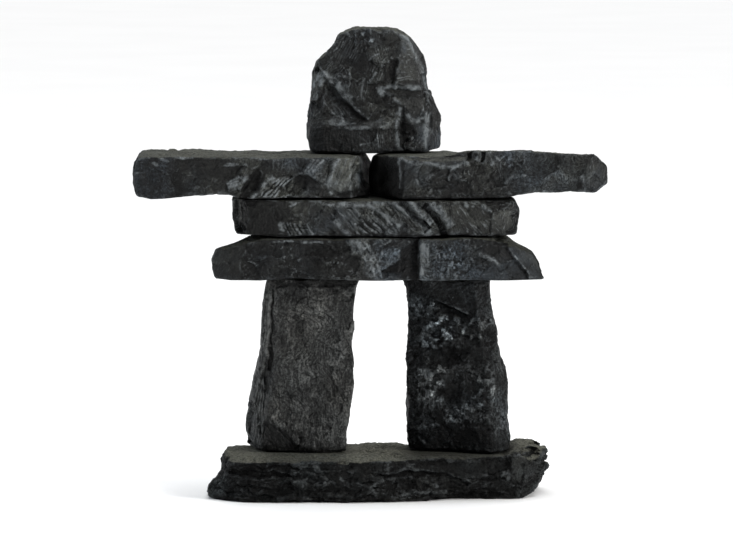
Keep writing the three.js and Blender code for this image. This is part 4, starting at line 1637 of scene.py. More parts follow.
# The step, the bevelled end and a few scars.
LINTEL_CARVING: Carving = (
    # the tone along the front, whose darkest stops, just left of the step, are painted shade
    Shade((
        0, -0.35, 8, -0.45, 9, -0.9, 30, -0.8, 33, -0.45, 40, -0.2, 41.5, 0.8, 46, 1.2, 50, 0.95, 55, 0.6,
        57, -0.1, 60, -1, 61.8, -1.8, 62.3, 0.9, 64.5, 0.7, 66, 0.35, 74, 0.5, 78, 0.25, 82, -0.2, 90, -0.4,
        92, 0.3, 100, 0.2,
    )),
    # the darker left half
    Facet((0, 84, 9, 84, 9, 4, 0, 4), tone=-0.35, calm=0.8, way=60),
    Rib((10.5, 72, 9, 54, 8.3, 36, 9, 10), width=0.4, rise=0.12, pale=0.15, fade=0.1),
    Facet((17.5, 74, 23, 74, 23, 58, 18, 58), depth=0.2, tone=-0.85, calm=0.7),
    Facet((23, 82, 27, 80, 27, 58, 23, 56), depth=0.1, tone=-0.2, calm=0.6, way=90),
    Facet((27.5, 80, 32, 80, 32.5, 58, 28, 56), depth=0.3, tone=-0.75, calm=0.3),
    Facet((37, 58, 44, 58, 44, 26, 37, 26), depth=0.2, tone=-0.35, calm=0.3, way=40),
    Facet((37, 22, 42, 22, 42, 8, 37, 8), depth=0.2, tone=-0.65, calm=0.6, way=0),
    Speckled((30, 66), (3.6, 3.4), tone=0.6),
    Speckled((36, 50), (6, 5), tone=0.6),
    Speckled((38, 80), (7, 3.2), tone=0.5),
    Rib((18, 91, 24, 92, 31, 89, 36, 91), width=0.45, pale=0.7),
    # the top edge, turned up and painted in shadow in the joint under the waist
    Facet((10, 103, 40, 103, 40, 95, 12, 94), depth=0.4, pitch=24, tone=-1.2, calm=0.1, way=0),
    # the bright split, and the hollow beside it, painted in shade where it faces away from the key light
    Facet((40.5, 96, 47, 98, 48.5, 60, 42, 62), depth=-0.2, tone=1.15, calm=0.3, way=100),
    Facet((43.6, 60, 50, 60, 51, 8, 45.6, 8), depth=-0.1, tone=1.15, way=100),
    Scoop((53, 45), (8, 7), depth=1, shade=0),
    Facet((48, 92, 51, 92, 57, 70, 56, 50, 51, 26, 49, 30), tone=0.75, calm=0.4, way=50),
    Facet((51, 98, 60, 98, 58, 76, 52, 78), depth=0.3, pitch=12, tone=-0.35, calm=0.6, way=20),
    Facet((57, 72, 61.5, 90, 61.8, 4, 58, 4, 51, 22, 56, 46), depth=0.5, yaw=-10, tone=-1.5, calm=0.5,
          way=35),
    Facet((51, 20, 57, 18, 57, 6, 51, 7), depth=0.1, calm=0.8, way=0),
    Patch((43.4, 80), (4.6, 2.6), tone=1.1, turn=-30, pale=0.75),
    Speckled((46, 62), (4.4, 5), tone=1),
    Speckled((48, 30), (4, 5), tone=1),
    *(Rib((42 + shift, 92, 44 + shift, 70, 46 + shift, 40, 46.6 + shift, 12), width=0.55, fade=0.04,
          whole=0.3) for shift in (0.4, 2, 3.6)),
    Patch((47, 40), (2.6, 5), tone=1.1, pale=0.7),
    Patch((48.5, 14), (3.2, 1), tone=0.8, pale=0.6),
    Ledge((61.9, -6, 61.6, 30, 61.8, 60, 62, 98), drop=1.6, run=4.4, lip=0.2, pale=0.4, fade=0.03,
          hollow=1.2),
    Rib((63.2, 92, 63.4, 66, 63.2, 40, 62.4, 14), width=1.5, fade=0.03, whole=1),
    Rib((64.8, 88, 64.4, 60, 64.6, 34), width=0.6, pale=0.8),
    # the pale, rough right of the middle
    Facet((66, 88, 78, 84, 79, 30, 77, 4, 66, 4), depth=-0.1, tone=0.45, calm=0, way=85),
    Speckled((70, 66), (5, 4), tone=0.7, lump=0.9),
    Speckled((73.5, 40), (4, 5), tone=0.9, lump=0.9),
    Facet((78, 58, 84, 46, 85, 26, 79, 26), depth=0.3, tone=-0.2, calm=0.1, way=-38),
    Rib((78.5, 72, 81, 62, 84, 50, 86.5, 36), width=0.7, rise=0.4, pale=0.8, fade=0.06),
    Facet((79, 94, 88, 90, 91, 52, 86, 38, 81, 62), depth=0.3, tone=-0.6, calm=0.95, way=-35),
    Facet((83, 36, 91, 46, 95, 4, 80, 4), depth=0.1, yaw=3, tone=-0.15, calm=0.9, way=0),
    Facet((88, 80, 92, 84, 101, 50, 101, 0, 96, 4, 91, 50), yaw=14, pitch=10, tone=0.4, calm=0.9,
          way=-60),
    Rib((89, 76, 91, 56, 93.6, 30, 95.6, 6), width=0.4, rise=0.25, pale=0.5, fade=0.04),
    # the top edge, turned up and painted in shadow in the joint under the waist
    Facet((66, 103, 90, 103, 89, 93, 66, 94), depth=0.3, pitch=18, tone=-1, way=0),
    Groove((84, 88, 87, 84, 90, 85), width=0.6, depth=0.6),
)


class Lintel(Stone):
    """The pitted slab across the legs, with a sharp step in its front."""

    def __init__(self) -> None:
        """Sets the slab's sizes."""
        relief = Relief(
            flake=(12.0, 9.0, 7.0), flake_depth=0.3, grain=(1.5, 1.5, 1.4), grain_depth=0.3, layer_depth=0.1,
            pit=2.4, pit_depth=0.25,
        )
        super().__init__("lintel", LINTEL_SLATE, relief, 41, LINTEL_CARVING, ("waist",), way=85.0)


# The gouges and the combed scars beside them.
WAIST_CARVING: Carving = (
    Shade((
        0, 0.3, 2.5, 0.2, 3.5, -1.25, 14, -1.2, 15.5, -0.7, 19, -0.4, 22, 0.15, 35, 0.1, 38, 0.3, 45, 0.3,
        50, 0.5, 60, 0.7, 74, 0.65, 76, 0.5, 97, 0.5, 98.5, 0,
    )),
    # the dark left end, its fan of fine strokes and the smooth facets
    Flat((9, 55), depth=0.5, yaw=-6, pitch=0, reach=(14, 40), calm=0.4),
    Facet((4, 96, 15, 96, 15, 4, 4, 4), tone=-1.2, way=90),
    Facet((5, 100, 9, 100, 8, 84, 4, 82), depth=0.4, tone=-1.4, calm=0.3),
    Facet((8, 97, 14, 97, 14, 80, 9, 82), depth=0.2, tone=-0.3, calm=0.6),
    Facet((15, 78, 20, 80, 22, 55, 17, 44, 15, 50), depth=0.3, yaw=-8, tone=-0.55, calm=0.3, way=-55),
    Facet((20, 76, 22, 95, 25, 100, 25, 49, 22, 58), pitch=6, tone=0.15, calm=0.95, way=25),
    Facet((25, 100, 29, 98, 31, 90, 31, 46, 25, 48), depth=0.1, tone=0.1, calm=0.95, way=70),
    Facet((31, 88, 35, 80, 36, 66, 35, 43, 31, 46), depth=0.3, yaw=6, tone=-0.05, calm=0.9, way=-40),
    Facet((29, 6, 31, 44, 36, 43, 40, 6), depth=0.2, pitch=-5, tone=-0.1, calm=0.85, way=-30),
    Facet((36, 84, 45, 82, 45, 8, 41, 8, 37, 44), depth=0.1, yaw=6, tone=0.35, calm=0.85, way=-42),
    Rib((20, 80, 24, 99, 29, 98, 33, 90, 36, 87), rise=0.25, pale=0.8, fade=0.04),
    Rib((36, 87, 41, 84, 45, 86, 48, 90), width=0.7, fade=0.04, whole=0.7),
    Groove((39.5, 79, 42, 75), width=0.5, depth=0.5),
    Patch((17, 29), (1.5, 2), tone=0.9, pale=1),
    Patch((17.8, 19), (1, 0.7), tone=0.6, turn=-40, pale=0.9),
    *(Rib((start, 38, start + 1, 22, start + 2.4, 5), width=0.4, pale=0.9)
      for start in (17.8, 19.2, 20.3, 21.8, 23.4, 26)),
    *(Groove((start, 36, start + 1.1, 20, start + 2.2, 6), width=0.3, depth=0.4, shade=0.8)
      for start in (18.6, 19.8, 21, 22.6, 24.4)),
    Rib((35.5, 46, 37.5, 31, 39, 17, 41.5, 5), width=0.9, rise=0.4, whole=0.9),
    # the struck middle, whose strokes run down to the right
    Combed((57, 52), (11, 8), angle=-52, spacing=1.7, depth=0.16, pale=0.5),
    Combed((42, 50), (5, 7), angle=-45, spacing=1.5, depth=0.1, pale=0.3),
    Facet((42, 78, 47, 78, 50, 52, 44, 54), depth=-0.1, tone=0.6, calm=0.3, way=-60),
    Facet((45, 52, 49, 40, 53, 22, 53, 3, 45, 6), depth=0.4, yaw=4, tone=-0.3, way=-43),
    *(Rib((44.6 + 1.9 * step, 50 + 9 * step, 47.4 + 1.9 * step, 27 + 9 * step, 51 + 1.6 * step,
           4 + 9 * step), width=0.45, rise=0.35, pale=0.9) for step in range(-1, 4)),
    *(Groove((45.6 + 1.9 * step, 50 + 9 * step, 48.4 + 1.9 * step, 27 + 9 * step, 51.8 + 1.6 * step,
              4 + 9 * step), width=0.35, depth=0.45, shade=0.9) for step in range(-1, 4)),
    Patch((51, 90), (3, 1.2), tone=1, pale=1),
    Rib((46, 90, 51, 72, 55, 48, 59, 28), width=0.9, rise=0.45, whole=0.7),
    Rib((49, 84, 53, 62, 57, 42), width=0.6, rise=0.35, pale=0.9),
    Facet((53, 96, 56, 96, 61, 62, 58, 55), depth=-0.1, tone=0.75, calm=0.85, way=-55),
    Groove((52.5, 97, 56, 80, 58, 66), width=0.35, depth=0.35, shade=0.7),
    Rib((55.3, 98, 57, 84, 59, 74, 63, 48, 66.5, 26, 69, 10), width=0.8, rise=0.5, fade=0.04, whole=0.8),
    Groove((58, 98, 60.4, 82, 62.4, 62, 64.6, 44, 66.8, 29, 67.8, 16), width=1.8, depth=2.4, fade=0.03),
    Rib((60.4, 99, 62.6, 86, 64.4, 70, 67, 52, 69.4, 34), width=1.5, rise=0.7, whole=1),
    Facet((60, 46, 64, 34, 64, 14, 59, 24), depth=0.3, tone=0.45, way=-48),
    Patch((67, 9), (3.2, 1.8), tone=0.7, pale=0.3),
    Patch((59.5, 9), (1.6, 2), tone=-0.3),
    Patch((56, 3), (2.6, 1), tone=-1.2),
    Groove((66, 88, 68.6, 74, 70.6, 57, 72, 40, 73, 20, 74, -4), width=1.7, depth=2.3, fade=0.04),
    Rib((68.4, 92, 70.8, 78, 73, 62, 74.8, 44, 76, 26), width=1.5, rise=0.8, whole=1),
    Patch((71.8, 83), (1.6, 0.7), tone=0.8, pale=0.9),
    # the smooth right end
    Facet((76, 90, 80, 90, 84, 50, 86, 6, 75.5, 4), yaw=5, tone=0.5, calm=0.85, way=-50),
    Facet((79, 88, 86, 87, 90, 66, 90, 53, 85, 46, 82, 60), depth=0.3, tone=0.05, calm=0.95, way=-50),
    Facet((84, 46, 90, 52, 93, 26, 92, 6, 86, 6), depth=0.1, yaw=-4, tone=0.35, calm=0.95, way=-44),
    Facet((90, 68, 97, 68, 97, 24, 94, 8, 93, 26, 90, 50), depth=-0.1, yaw=8, tone=0.7, calm=0.95,
          way=60),
    Rib((86, 84, 88, 80, 90, 70), width=0.7, pale=0.8),
    Patch((81, 83), (0.9, 0.7), tone=0.8, pale=0.8),
    Patch((83.2, 83), (0.8, 0.6), tone=0.6, pale=0.5),
    Combed((85, 15), (2.4, 2.6), angle=-48, spacing=1.1, depth=0.18, pale=0.6),
    Facet((86, 96, 98, 96, 98, 74, 90, 76), depth=0.6, pitch=18, tone=-0.3, calm=0.3, way=0),
    Facet((-1, 104, 4, 100, 3.4, 4, -1, 4), tone=0.2, calm=0.1, way=90),
    Groove((3.6, 90, 3.8, 8), width=0.6, depth=0.7, shade=0.9, fade=0.02),
    # the bottom edge, turned down and painted in shadow in the joint over the lintel
    Facet((0, 7, 30, 5, 62, 6, 98, 4, 101, -4, -1, -4), depth=0.3, pitch=-18, tone=-1.4, way=0),
)


class Waist(Stone):
    """The smoother slab with two gouges that run down its front to the right."""

    def __init__(self) -> None:
        """Sets the slab's sizes."""
        relief = Relief(
            flake=(12.0, 9.0, 7.0), flake_depth=0.25, grain=(1.8, 1.8, 1.4), grain_depth=0.12,
            layer_depth=0.1,
        )
        super().__init__(
            "waist", WAIST_SLATE, relief, 53, WAIST_CARVING, ("left_arm", "right_arm"), way=-42.0,
        )


# The slanted scars, the nose and the disc.
LEFT_ARM_CARVING: Carving = (
    # the tone along the front, painted nearly black on the inner end for the shade between the arms
    Shade((
        0, -0.3, 15, -0.3, 18, -0.45, 25, -0.6, 38, -0.5, 43, -0.15, 50, -0.1, 62, 0.05, 70, 0.1, 76, 0.5,
        80, 0.7, 94.5, 0.75, 96, -1.5, 100, -2.2,
    )),
    # the outer end and the darker scar beside it
    *(Patch((share, 46), (0.8, 4.6), tone=-0.75) for share in (5.5, 8, 11.5, 15.5)),
    Patch((9.5, 80), (1.6, 0.8), tone=0.4, turn=-30, pale=0.7),
    Patch((13, 89), (2.6, 0.8), tone=0.4, turn=-15, pale=0.6),
    Patch((22, 96), (4.4, 0.7), tone=0.4, pale=0.6),
    Facet((18, 90, 26, 92, 42, 88, 44, 62, 38, 46, 25, 44, 20, 60), depth=0.3, tone=-0.65, calm=0.7,
          way=8),
    Patch((22.5, 50), (2.6, 3.2), tone=-0.05, calm=0.5),
    Facet((31, 52, 37, 52, 37, 34, 31, 36), depth=0.1, tone=0.05, calm=0.5, way=40),
    Facet((25, 32, 38, 30, 38, 12, 25, 12), depth=-0.1, pitch=-10, tone=0.05, calm=0.3, way=5),
    Facet((38, 54, 42, 50, 39, 24, 37, 26), depth=0.3, tone=-0.5, calm=0.4),
    Rib((38, 84, 43, 80, 48, 82), rise=0.25, pale=0.7, fade=0.2),
    Rib((37, 79, 43, 78), width=0.35, rise=0.2, pale=0.5, fade=0.2),
    Facet((43, 60, 47, 80, 56, 82, 51, 64, 47, 48), depth=-0.3, yaw=6, tone=0.1, calm=0.6, way=60),
    # the valley between two bright ridges
    Facet((59, 92, 54, 90, 50, 58, 46, 36, 44, 6, 48, 4, 51, 24, 55, 50, 59, 74), depth=0.7, yaw=-8,
          tone=-0.9, calm=0.6, way=55),
    Patch((47, 14), (1.8, 2.6), tone=-1.2),
    Rib((39, 26, 43, 34, 46, 46, 48, 54), width=1.1, rise=0.5, pale=0.8, fade=0.04, whole=0.4),
    *(Rib((39.5 + shift, 34, 42.5 + shift, 44, 44.5 + shift, 54), width=0.4, pale=0.9)
      for shift in (-0.6, 0.8, 2.2)),
    Patch((43.5, 30), (2.4, 1.6), tone=0.6, turn=30, pale=0.3),
    Rib((49, 4, 52.5, 20, 55.5, 40, 59, 54), width=1, rise=0.5, pale=0.85, whole=0.5),
    *(Rib((51 + shift, 6, 54 + shift, 24, 57.5 + shift, 44, 60 + shift, 52), width=0.4, pale=0.8)
      for shift in (1.5, 3.2, 5.2, 7)),
    *(Groove((51.8 + shift, 6, 54.8 + shift, 24, 58.2 + shift, 44), width=0.35, depth=0.4, shade=0.8)
      for shift in (1.5, 3.4, 5.4)),
    Facet((55, 56, 66, 54, 64, 30, 60, 6, 52, 6), depth=0.2, yaw=8, tone=0.25, calm=0.3, way=40),
    Combed((61, 80), (7, 3.2), angle=88, spacing=1.8, depth=0.08, pale=0.3),
    # the dark nose
    Facet((66, 36, 68, 54, 71, 61, 74, 56, 75.6, 42, 75, 22, 70, 26), depth=0.5, tone=-0.75, calm=0.9,
          way=-20),
    Rib((66, 53, 69, 60, 73, 58, 75.4, 48), rise=0.35, pale=0.7),
    Facet((63, 28, 69, 26, 75, 20, 75, 5, 62, 5), depth=0.2, calm=0.1, way=70),
    # the bright facets and the smooth swelling near the inner end
    Facet((70, 64, 73, 92, 80, 96, 82, 74, 80, 32, 75.6, 46), depth=-0.3, yaw=8, pitch=6, tone=0.7,
          calm=0.4, way=55),
    *(Rib((70 + shift, 62, 72.4 + shift, 78, 74.4 + shift, 92), pale=0.8) for shift in (0.4, 2.2, 4.2)),
    Facet((75.6, 44, 80, 32, 81, 6, 75.6, 6), depth=0.2, yaw=-8, tone=0.35, calm=0.5, way=-60),
    Swell((87.3, 57), (6.6, 8), rise=0.6, tilt=0.2, calm=0.75),
    Facet((84, 97, 90, 96, 94.6, 78, 95.6, 54, 93.6, 30, 89, 16, 82, 20, 81, 50), tone=0.85, calm=0.7,
          way=70),
    Rib((85.6, 95, 83, 76, 81.2, 52, 80.8, 30, 82.4, 10), width=0.9, rise=0.4, whole=0.7),
    Groove((81.8, 92, 80.2, 60, 79.8, 34), width=0.4, depth=0.5, shade=0.6),
    Combed((88.4, 58), (6.6, 7), angle=68, spacing=1.9, depth=0.1, pale=0.4),
    Facet((76, 24, 84, 20, 84, 2, 76, 2), depth=0.3, calm=0.1, way=70),
    Facet((85, 16, 93, 20, 96, 3, 85, 3), depth=0.4, tone=-1.1),
    # the inner end, painted nearly black for the shade between the arms
    Facet((93, 99, 96, 80, 97, 54, 95, 30, 92, 2, 101, 0, 101, 100), tone=-2.2, calm=0.3, way=80),
    # the bottom edges, turned down and painted in shade under the arm and in the joint over the waist
    Facet((1, 26, 10, 16, 25, 16, 25, 6, 8, 2), depth=0.3, pitch=-16, tone=-0.5, calm=0.1, way=0),
    Facet((45, 5, 62, 4, 80, 6, 96, 5, 96, -4, 45, -4), depth=0.3, pitch=-18, tone=-1.5, calm=0.1, way=0),
)


class LeftArm(Stone):
    """The long bar to the left, with slanted scars and a smooth disc near its inner end."""

    # How far the lower inner corner goes out, and where that begins and where it is whole, in millimetres:
    # from the end, in depth from the front and from the back, and over the stone's bed.
    FILL_OUT = 3.2
    FILL_END = (8.0, 5.5)
    FILL_FRONT = (-10.0, -6.0)
    FILL_BACK = (2.0, -2.0)
    FILL_HEIGHT = (8.0, 4.5)

    def __init__(self) -> None:
        """Sets the bar's sizes."""
        relief = Relief(
            flake=(12.0, 9.0, 8.0), flake_depth=0.22, grain=(1.8, 1.8, 1.6), grain_depth=0.13,
            layer_depth=0.0,
        )
        super().__init__(
            "left_arm", SLAB_SLATE, relief, 61, LEFT_ARM_CARVING, ("head_stone",), way=50.0, inner=Side.RIGHT,
            shaded=7.0,
        )

    def filled(self, surface: Surface) -> np.ndarray:
        """Fills the lower corner of the inner end out, in front of the other arm's.

        Args:
            surface: the stone's surface.

        Returns:
            How far each point goes to the right, in millimetres.
        """
        across, depth, height = surface.points.T
        end = smoothstep(*self.FILL_END, surface.high[0] - across)
        deep = smoothstep(*self.FILL_FRONT, depth) * smoothstep(*self.FILL_BACK, depth)
        return self.FILL_OUT * end * deep * smoothstep(*self.FILL_HEIGHT, height - surface.low[2])


# The smooth inner facet and the notches beside it.
RIGHT_ARM_CARVING: Carving = (
    # the tone along the front, painted nearly black on the slanted inner end for the shade between the arms
    Shade((
        0, -2.2, 9, -2, 12, -1.6, 12.8, 0.25, 33, 0.15, 36, 0.2, 46, 0.25, 60, 0.45, 80, 0.4, 88, 0.35,
        90, 0.15, 100, 0.2,
    )),
    Flat((30, 86), depth=0.9, yaw=0, pitch=36, reach=(16, 4.6), calm=0.5),
    # three smooth facets under a bright ridge
    Facet((13, 84, 17, 78, 19, 73, 15, 58, 13, 42), depth=-0.1, tone=0.7, calm=1, way=75),
    Facet((19, 73, 24, 76, 29, 66, 25, 50, 21, 38, 17, 58), depth=0.1, yaw=-3, tone=0.4, calm=1, way=30),
    Facet((25, 50, 29, 68, 33, 64, 33, 46, 28, 36), depth=0.3, yaw=-5, tone=-0.2, calm=1, way=40),
    Facet((13, 40, 17, 56, 21, 40, 25, 22, 13, 20), depth=0.2, pitch=-5, tone=0.1, calm=0.9, way=60),
    Rib((22, 34, 24, 44, 28, 54), width=0.7, pale=0.5, fade=0.2),
    Rib((12.8, 86, 12.4, 66, 12.8, 46, 12.4, 20), width=0.8, rise=0.25, fade=0.03, whole=0.9),
    Rib((13, 87, 16, 80, 19, 73, 24, 77, 28, 74, 33, 67, 36, 70, 42, 74), width=0.8, rise=0.4, fade=0.03,
        whole=0.9),
    Rib((19, 73, 16.5, 66, 15, 58), width=0.4, rise=0.2, pale=0.4, fade=0.2),
    Patch((31.5, 68), (2.4, 0.8), tone=0.8, pale=0.8),
    Facet((14, 96, 28, 98, 40, 96, 40, 80, 33, 72, 25, 80, 17, 82), depth=0.1, pitch=14, tone=-0.05,
          calm=0.7, way=0),
    Facet((28, 92, 40, 94, 41, 80, 34, 78), tone=0.3, calm=0.8, way=0),
    # the rough middle, with two upright notches over it
    Ledge((33, 38, 33.4, 54, 34, 66), drop=0.5, run=3, lip=0.3, pale=0.9, hollow=1, fade=0.06),
    Facet((34, 70, 46, 72, 47, 46, 35, 44), depth=-0.1, tone=0.25, calm=0, way=85),
    Speckled((39, 60), (5.6, 4.4), tone=0.9),
    Facet((29, 48, 35, 46, 35, 32, 28, 30), depth=0.1, tone=0.05, calm=0.4, way=40),
    Facet((36, 38, 41, 38, 41, 17, 36, 17), depth=0.5, tone=-0.7, calm=0.5, way=90),
    Patch((34, 21), (2.2, 1.4), tone=-0.6),
    Facet((41, 40, 47, 42, 47, 18, 41, 18), depth=0.3, tone=-0.15, calm=0, way=90),
    Speckled((23, 14), (7, 2), tone=0.5),
    Speckled((37, 8), (5, 1.6), tone=0.7),
    Groove((42.4, 102, 42, 90, 41.2, 78), width=1.1, depth=1.2, fade=0.05),
    Groove((47.6, 102, 47.8, 90, 47, 76), width=1.2, depth=1.5, fade=0.05),
    Rib((44.6, 98, 45, 90, 44, 82), width=0.7, pale=0.8, fade=0.2),
    Rib((50, 98, 51, 88, 52.4, 78, 51, 72), width=0.7, rise=0.35, pale=0.9),
    Rib((52.6, 96, 53, 88, 54.6, 80), pale=0.7),
    Facet((46, 74, 49, 74, 49, 58, 46, 50), depth=0.4, yaw=-8, tone=-0.4, calm=0.9, way=60),
    Facet((49, 62, 54, 66, 54, 50, 48, 38, 47, 46), depth=-0.1, yaw=4, tone=0.35, calm=0.9, way=60),
    Facet((47, 38, 60, 40, 60, 14, 48, 16), depth=0.1, tone=0.25, way=50),
    Speckled((57, 76), (3, 3.4), tone=1, lump=0.9),
    Rib((56, 32, 59, 44, 61, 52), rise=0.25, pale=0.5, fade=0.2),
    # the bottom edge, turned down and painted in shadow in the joint over the waist
    Facet((8, 5, 28, 4, 40, 10, 50, 16, 61, 14, 58, -4, 8, -4), depth=0.4, pitch=-20, tone=-1.4, calm=0.1,
          way=0),
    # the even outer part and its smooth tip
    *(Patch((share, 52), (0.7, 5.4), tone=0.1) for share in (68.5, 73, 78.5, 84)),
    Speckled((64, 74), (5, 3.6), tone=0.4, lump=0.9),
    Patch((65, 50), (0.9, 0.7), tone=0.8, pale=0.7),
    Facet((90, 86, 95, 90, 99, 66, 99, 40, 95, 22, 91.4, 24, 89.6, 54), yaw=8, tone=0.15, calm=0.95,
          soft=1.6, way=70),
    Rib((88.4, 52, 90, 38, 91.2, 24), width=0.7, rise=0.4, fade=0.08, whole=0.5),
    Facet((87, 36, 89, 34, 89.4, 20, 86.6, 20), depth=0.4, tone=-0.7),
)


class RightArm(Stone):
    """The long granular bar to the right, split off at a slant at its inner end."""

    def __init__(self) -> None:
        """Sets the bar's sizes."""
        relief = Relief(
            flake=(12.0, 9.0, 8.0), flake_depth=0.25, grain=(1.5, 1.5, 1.5), grain_depth=0.22,
            layer_depth=0.0,
        )
        super().__init__(
            "right_arm", SLAB_SLATE, relief, 71, RIGHT_ARM_CARVING, ("head_stone",), way=86.0,
            inner=Side.LEFT,
        )


# The scars, ledges and the upright gouge.
HEAD_CARVING: Carving = (
    # the knapped upper half
    Facet((19, 92, 28, 99, 44, 100, 44, 84, 24, 72, 8, 78), tone=-0.35, calm=0.1, way=55),
    Facet((33, 97, 42, 98, 46, 88, 44, 82, 34, 84), depth=0.3, yaw=-10, tone=-0.7, way=120),
    Facet((46, 100, 57, 99, 55, 86, 46, 84), depth=-0.3, yaw=10, tone=0.1, calm=0.4, way=95),
    Facet((57, 97, 66, 97, 70, 91, 63, 85, 56, 88), depth=0.3, tone=-0.5, calm=0.85, way=60),
    Facet((47, 84, 65, 85, 68, 74, 60, 70, 49, 73), depth=-0.2, tone=0.2, way=30),
    Facet((24, 85, 42, 84, 49, 76, 48, 60, 36, 52, 33, 70, 24, 74), depth=0.4, tone=-0.6, calm=0.3),
    Facet((57, 72, 65, 74, 66, 60, 58, 55), depth=0.3, yaw=-8, tone=-0.9, calm=0.3, way=80),
    Facet((70, 92, 79, 88, 85, 76, 90, 60, 90, 53, 66, 54, 66, 66, 68, 80), depth=-0.2, yaw=14, pitch=5,
          tone=0.85, calm=0.85, way=4),
    Facet((22, 73, 32, 72, 34, 60, 27, 55, 21, 62), depth=-0.1, calm=0.1, way=120),
    Combed((30, 82), (8, 6), angle=62, spacing=1.1, depth=0.07, pale=0.3),
    Combed((53, 80), (6, 5), angle=104, spacing=1.1, depth=0.08, pale=0.35),
    Combed((20, 68), (6, 4), angle=40, spacing=1.1, depth=0.08, pale=0.3),
    Combed((52, 64), (5, 4), angle=75, spacing=1.2, depth=0.1, pale=0.35),
    Speckled((42, 90), (5.6, 4), tone=1.2, lump=0.9),
    Speckled((53, 70), (6, 4), tone=0.9),
    Speckled((37, 60), (5, 3.6), tone=0.7),
    Speckled((28, 67), (4, 4.4), tone=0.9, lump=0.9),
    Rib((34, 96, 40, 98, 45, 92, 43, 86), width=0.4, rise=0.25, pale=0.8, fade=0.2),
    Rib((46, 59, 49, 61, 52, 65), rise=0.4),
    Rib((46, 74, 49, 79, 55, 80), width=0.4, rise=0.25, pale=0.7, fade=0.2),
    Combed((72, 62), (4, 3), angle=2, spacing=1.1, depth=0.14, pale=0.6),
    Facet((63, 58, 86, 57, 87, 53, 63, 54), depth=0.3, pitch=-10, tone=-0.2, calm=0.3, way=2),
    # the level ledge and the smooth facets under it
    Ledge((90, 51, 76, 51, 66, 52, 56, 51), drop=0.7, run=2.4, pale=1, fade=0.05),
    Rib((58, 53, 66, 53.4, 78, 52.6, 89, 53), width=0.8, rise=0.25, whole=0.9),
    Facet((60, 50, 88, 50, 88, 45, 68, 45), depth=0.3, tone=0.05, calm=0.8, way=2),
    Facet((60, 46, 70, 45, 89, 44, 92, 32, 84, 33, 80, 26, 75, 34, 68, 42), tone=1.05, calm=0.85, way=40),
    Rib((56, 51, 61, 47, 66, 43, 71, 39), width=0.6, rise=0.35, fade=0.08),
    Patch((55, 49), (1.8, 2.4), tone=0.4, pale=0.8),
    Facet((45, 56, 56, 57, 60, 48, 66, 41, 58, 36, 48, 46), depth=0.4, yaw=-10, tone=-0.7, calm=0.3,
          way=55),
    Facet((76, 25, 91, 24, 90, 3, 78, 2), depth=0.2, yaw=7, tone=0.85, calm=0.8, way=65),
    Facet((75, 31, 80, 25, 92, 32, 92, 24, 76, 22), depth=0.1, tone=0.35, calm=0.6, way=30),
    Rib((74, 32, 80, 24, 86, 28, 91, 33), width=0.9, rise=0.5, fade=0.06, whole=1),
    Rib((88, 38, 84, 30, 81, 26), width=0.4, pale=0.7, fade=0.2),
    # the diagonal ledge, with painted shade in the recess under it
    Facet((3, 66, 9, 71, 13, 60, 10, 46, 4, 40), depth=-0.3, yaw=-8, pitch=10, tone=0.45, calm=0.4,
          way=80),
    Ledge((46, 27, 39, 33, 31, 41, 24, 49, 16, 58, 8, 70), drop=1.2, run=5, lip=0.4, pale=0.9, fade=0.04,
          hollow=1),
    Rib((7, 62, 13, 64, 19, 59, 25, 51, 33, 42), width=1.3, rise=0.5, fade=0.06, whole=0.8),
    Rib((5, 52, 7, 60, 10, 66), width=1, pale=0.9, fade=0.1, whole=0.4),
    Rib((21, 62, 26, 52, 34, 43), pale=0.8),
    Patch((11, 57), (1.6, 2.4), tone=0.5, turn=-50, pale=0.8),
    Patch((31, 44), (3.2, 1.6), tone=0.4, turn=-45, pale=0.5),
    Facet((9, 53, 20, 49, 30, 39, 14, 32, 9, 38), depth=0.1, pitch=4, tone=-0.6, way=60),
    Combed((25, 34), (5, 2.6), angle=-55, spacing=1.2, depth=0.16, pale=0.35),
    Facet((28, 41, 36, 37, 45, 27, 38, 27, 30, 35), depth=0.4, tone=-1.1),
    Combed((43, 51), (1.9, 6.6), angle=88, spacing=1, depth=0.2, pale=0.8),
    Rib((35, 53, 40, 56, 43, 59), width=0.4, pale=0.7, fade=0.2),
    # the band over the foot, and the foot
    Facet((2, 33, 30, 30, 48, 26, 68, 28, 68, 19, 2, 20), pitch=9, way=2),
    Patch((22, 25), (6, 1.6), tone=0.5, pale=0.5),
    Patch((39, 21), (5, 0.9), tone=0.4, pale=0.6),
    Patch((56, 24), (5.5, 2.2), tone=0.35, pale=0.35),
    Speckled((57, 29), (5, 3.6), tone=1, lump=0.9),
    Facet((1, 20, 45, 20, 45, 1, 2, 1), depth=0.15, tone=-0.65, calm=0.7, soft=1.2, way=92),
    Facet((46, 20, 67, 19, 67, 1, 46, 1), depth=0.2, tone=-0.35, calm=0.3, soft=1.2, way=90),
    Combed((54, 11), (2.4, 4.6), angle=90, spacing=0.9, depth=0.18, pale=0.45),
    Rib((36, 5, 42, 8, 46, 7), rise=0.4, pale=0.5, fade=0.2),
    Groove((70.6, 42, 71, 30, 71.6, 16, 72.4, 1), width=1.7, depth=0.5, widen=0.3, shade=0.6),
    Rib((70, 38, 68, 30, 67, 20, 67, 2), width=0.8, rise=0.45, fade=0.06, whole=0.8),
    Patch((68, 30), (1.4, 2.6), tone=0.6, pale=0.8),
    # the right edge and the side behind it
    Rib((63, 99, 72, 94, 79, 85, 84, 72, 88, 58, 91, 44), width=0.9, rise=0.35, fade=0.04, whole=0.9),
    Rib((90.4, 33, 89.6, 22, 89, 12, 88, 2), width=1.4, rise=0.5, whole=1),
    Facet((64, 102, 78, 96, 92, 62, 101, 32, 101, 0, 93, 0, 94, 34, 84, 78), tone=0.15, calm=0.4,
          way=-65),
)


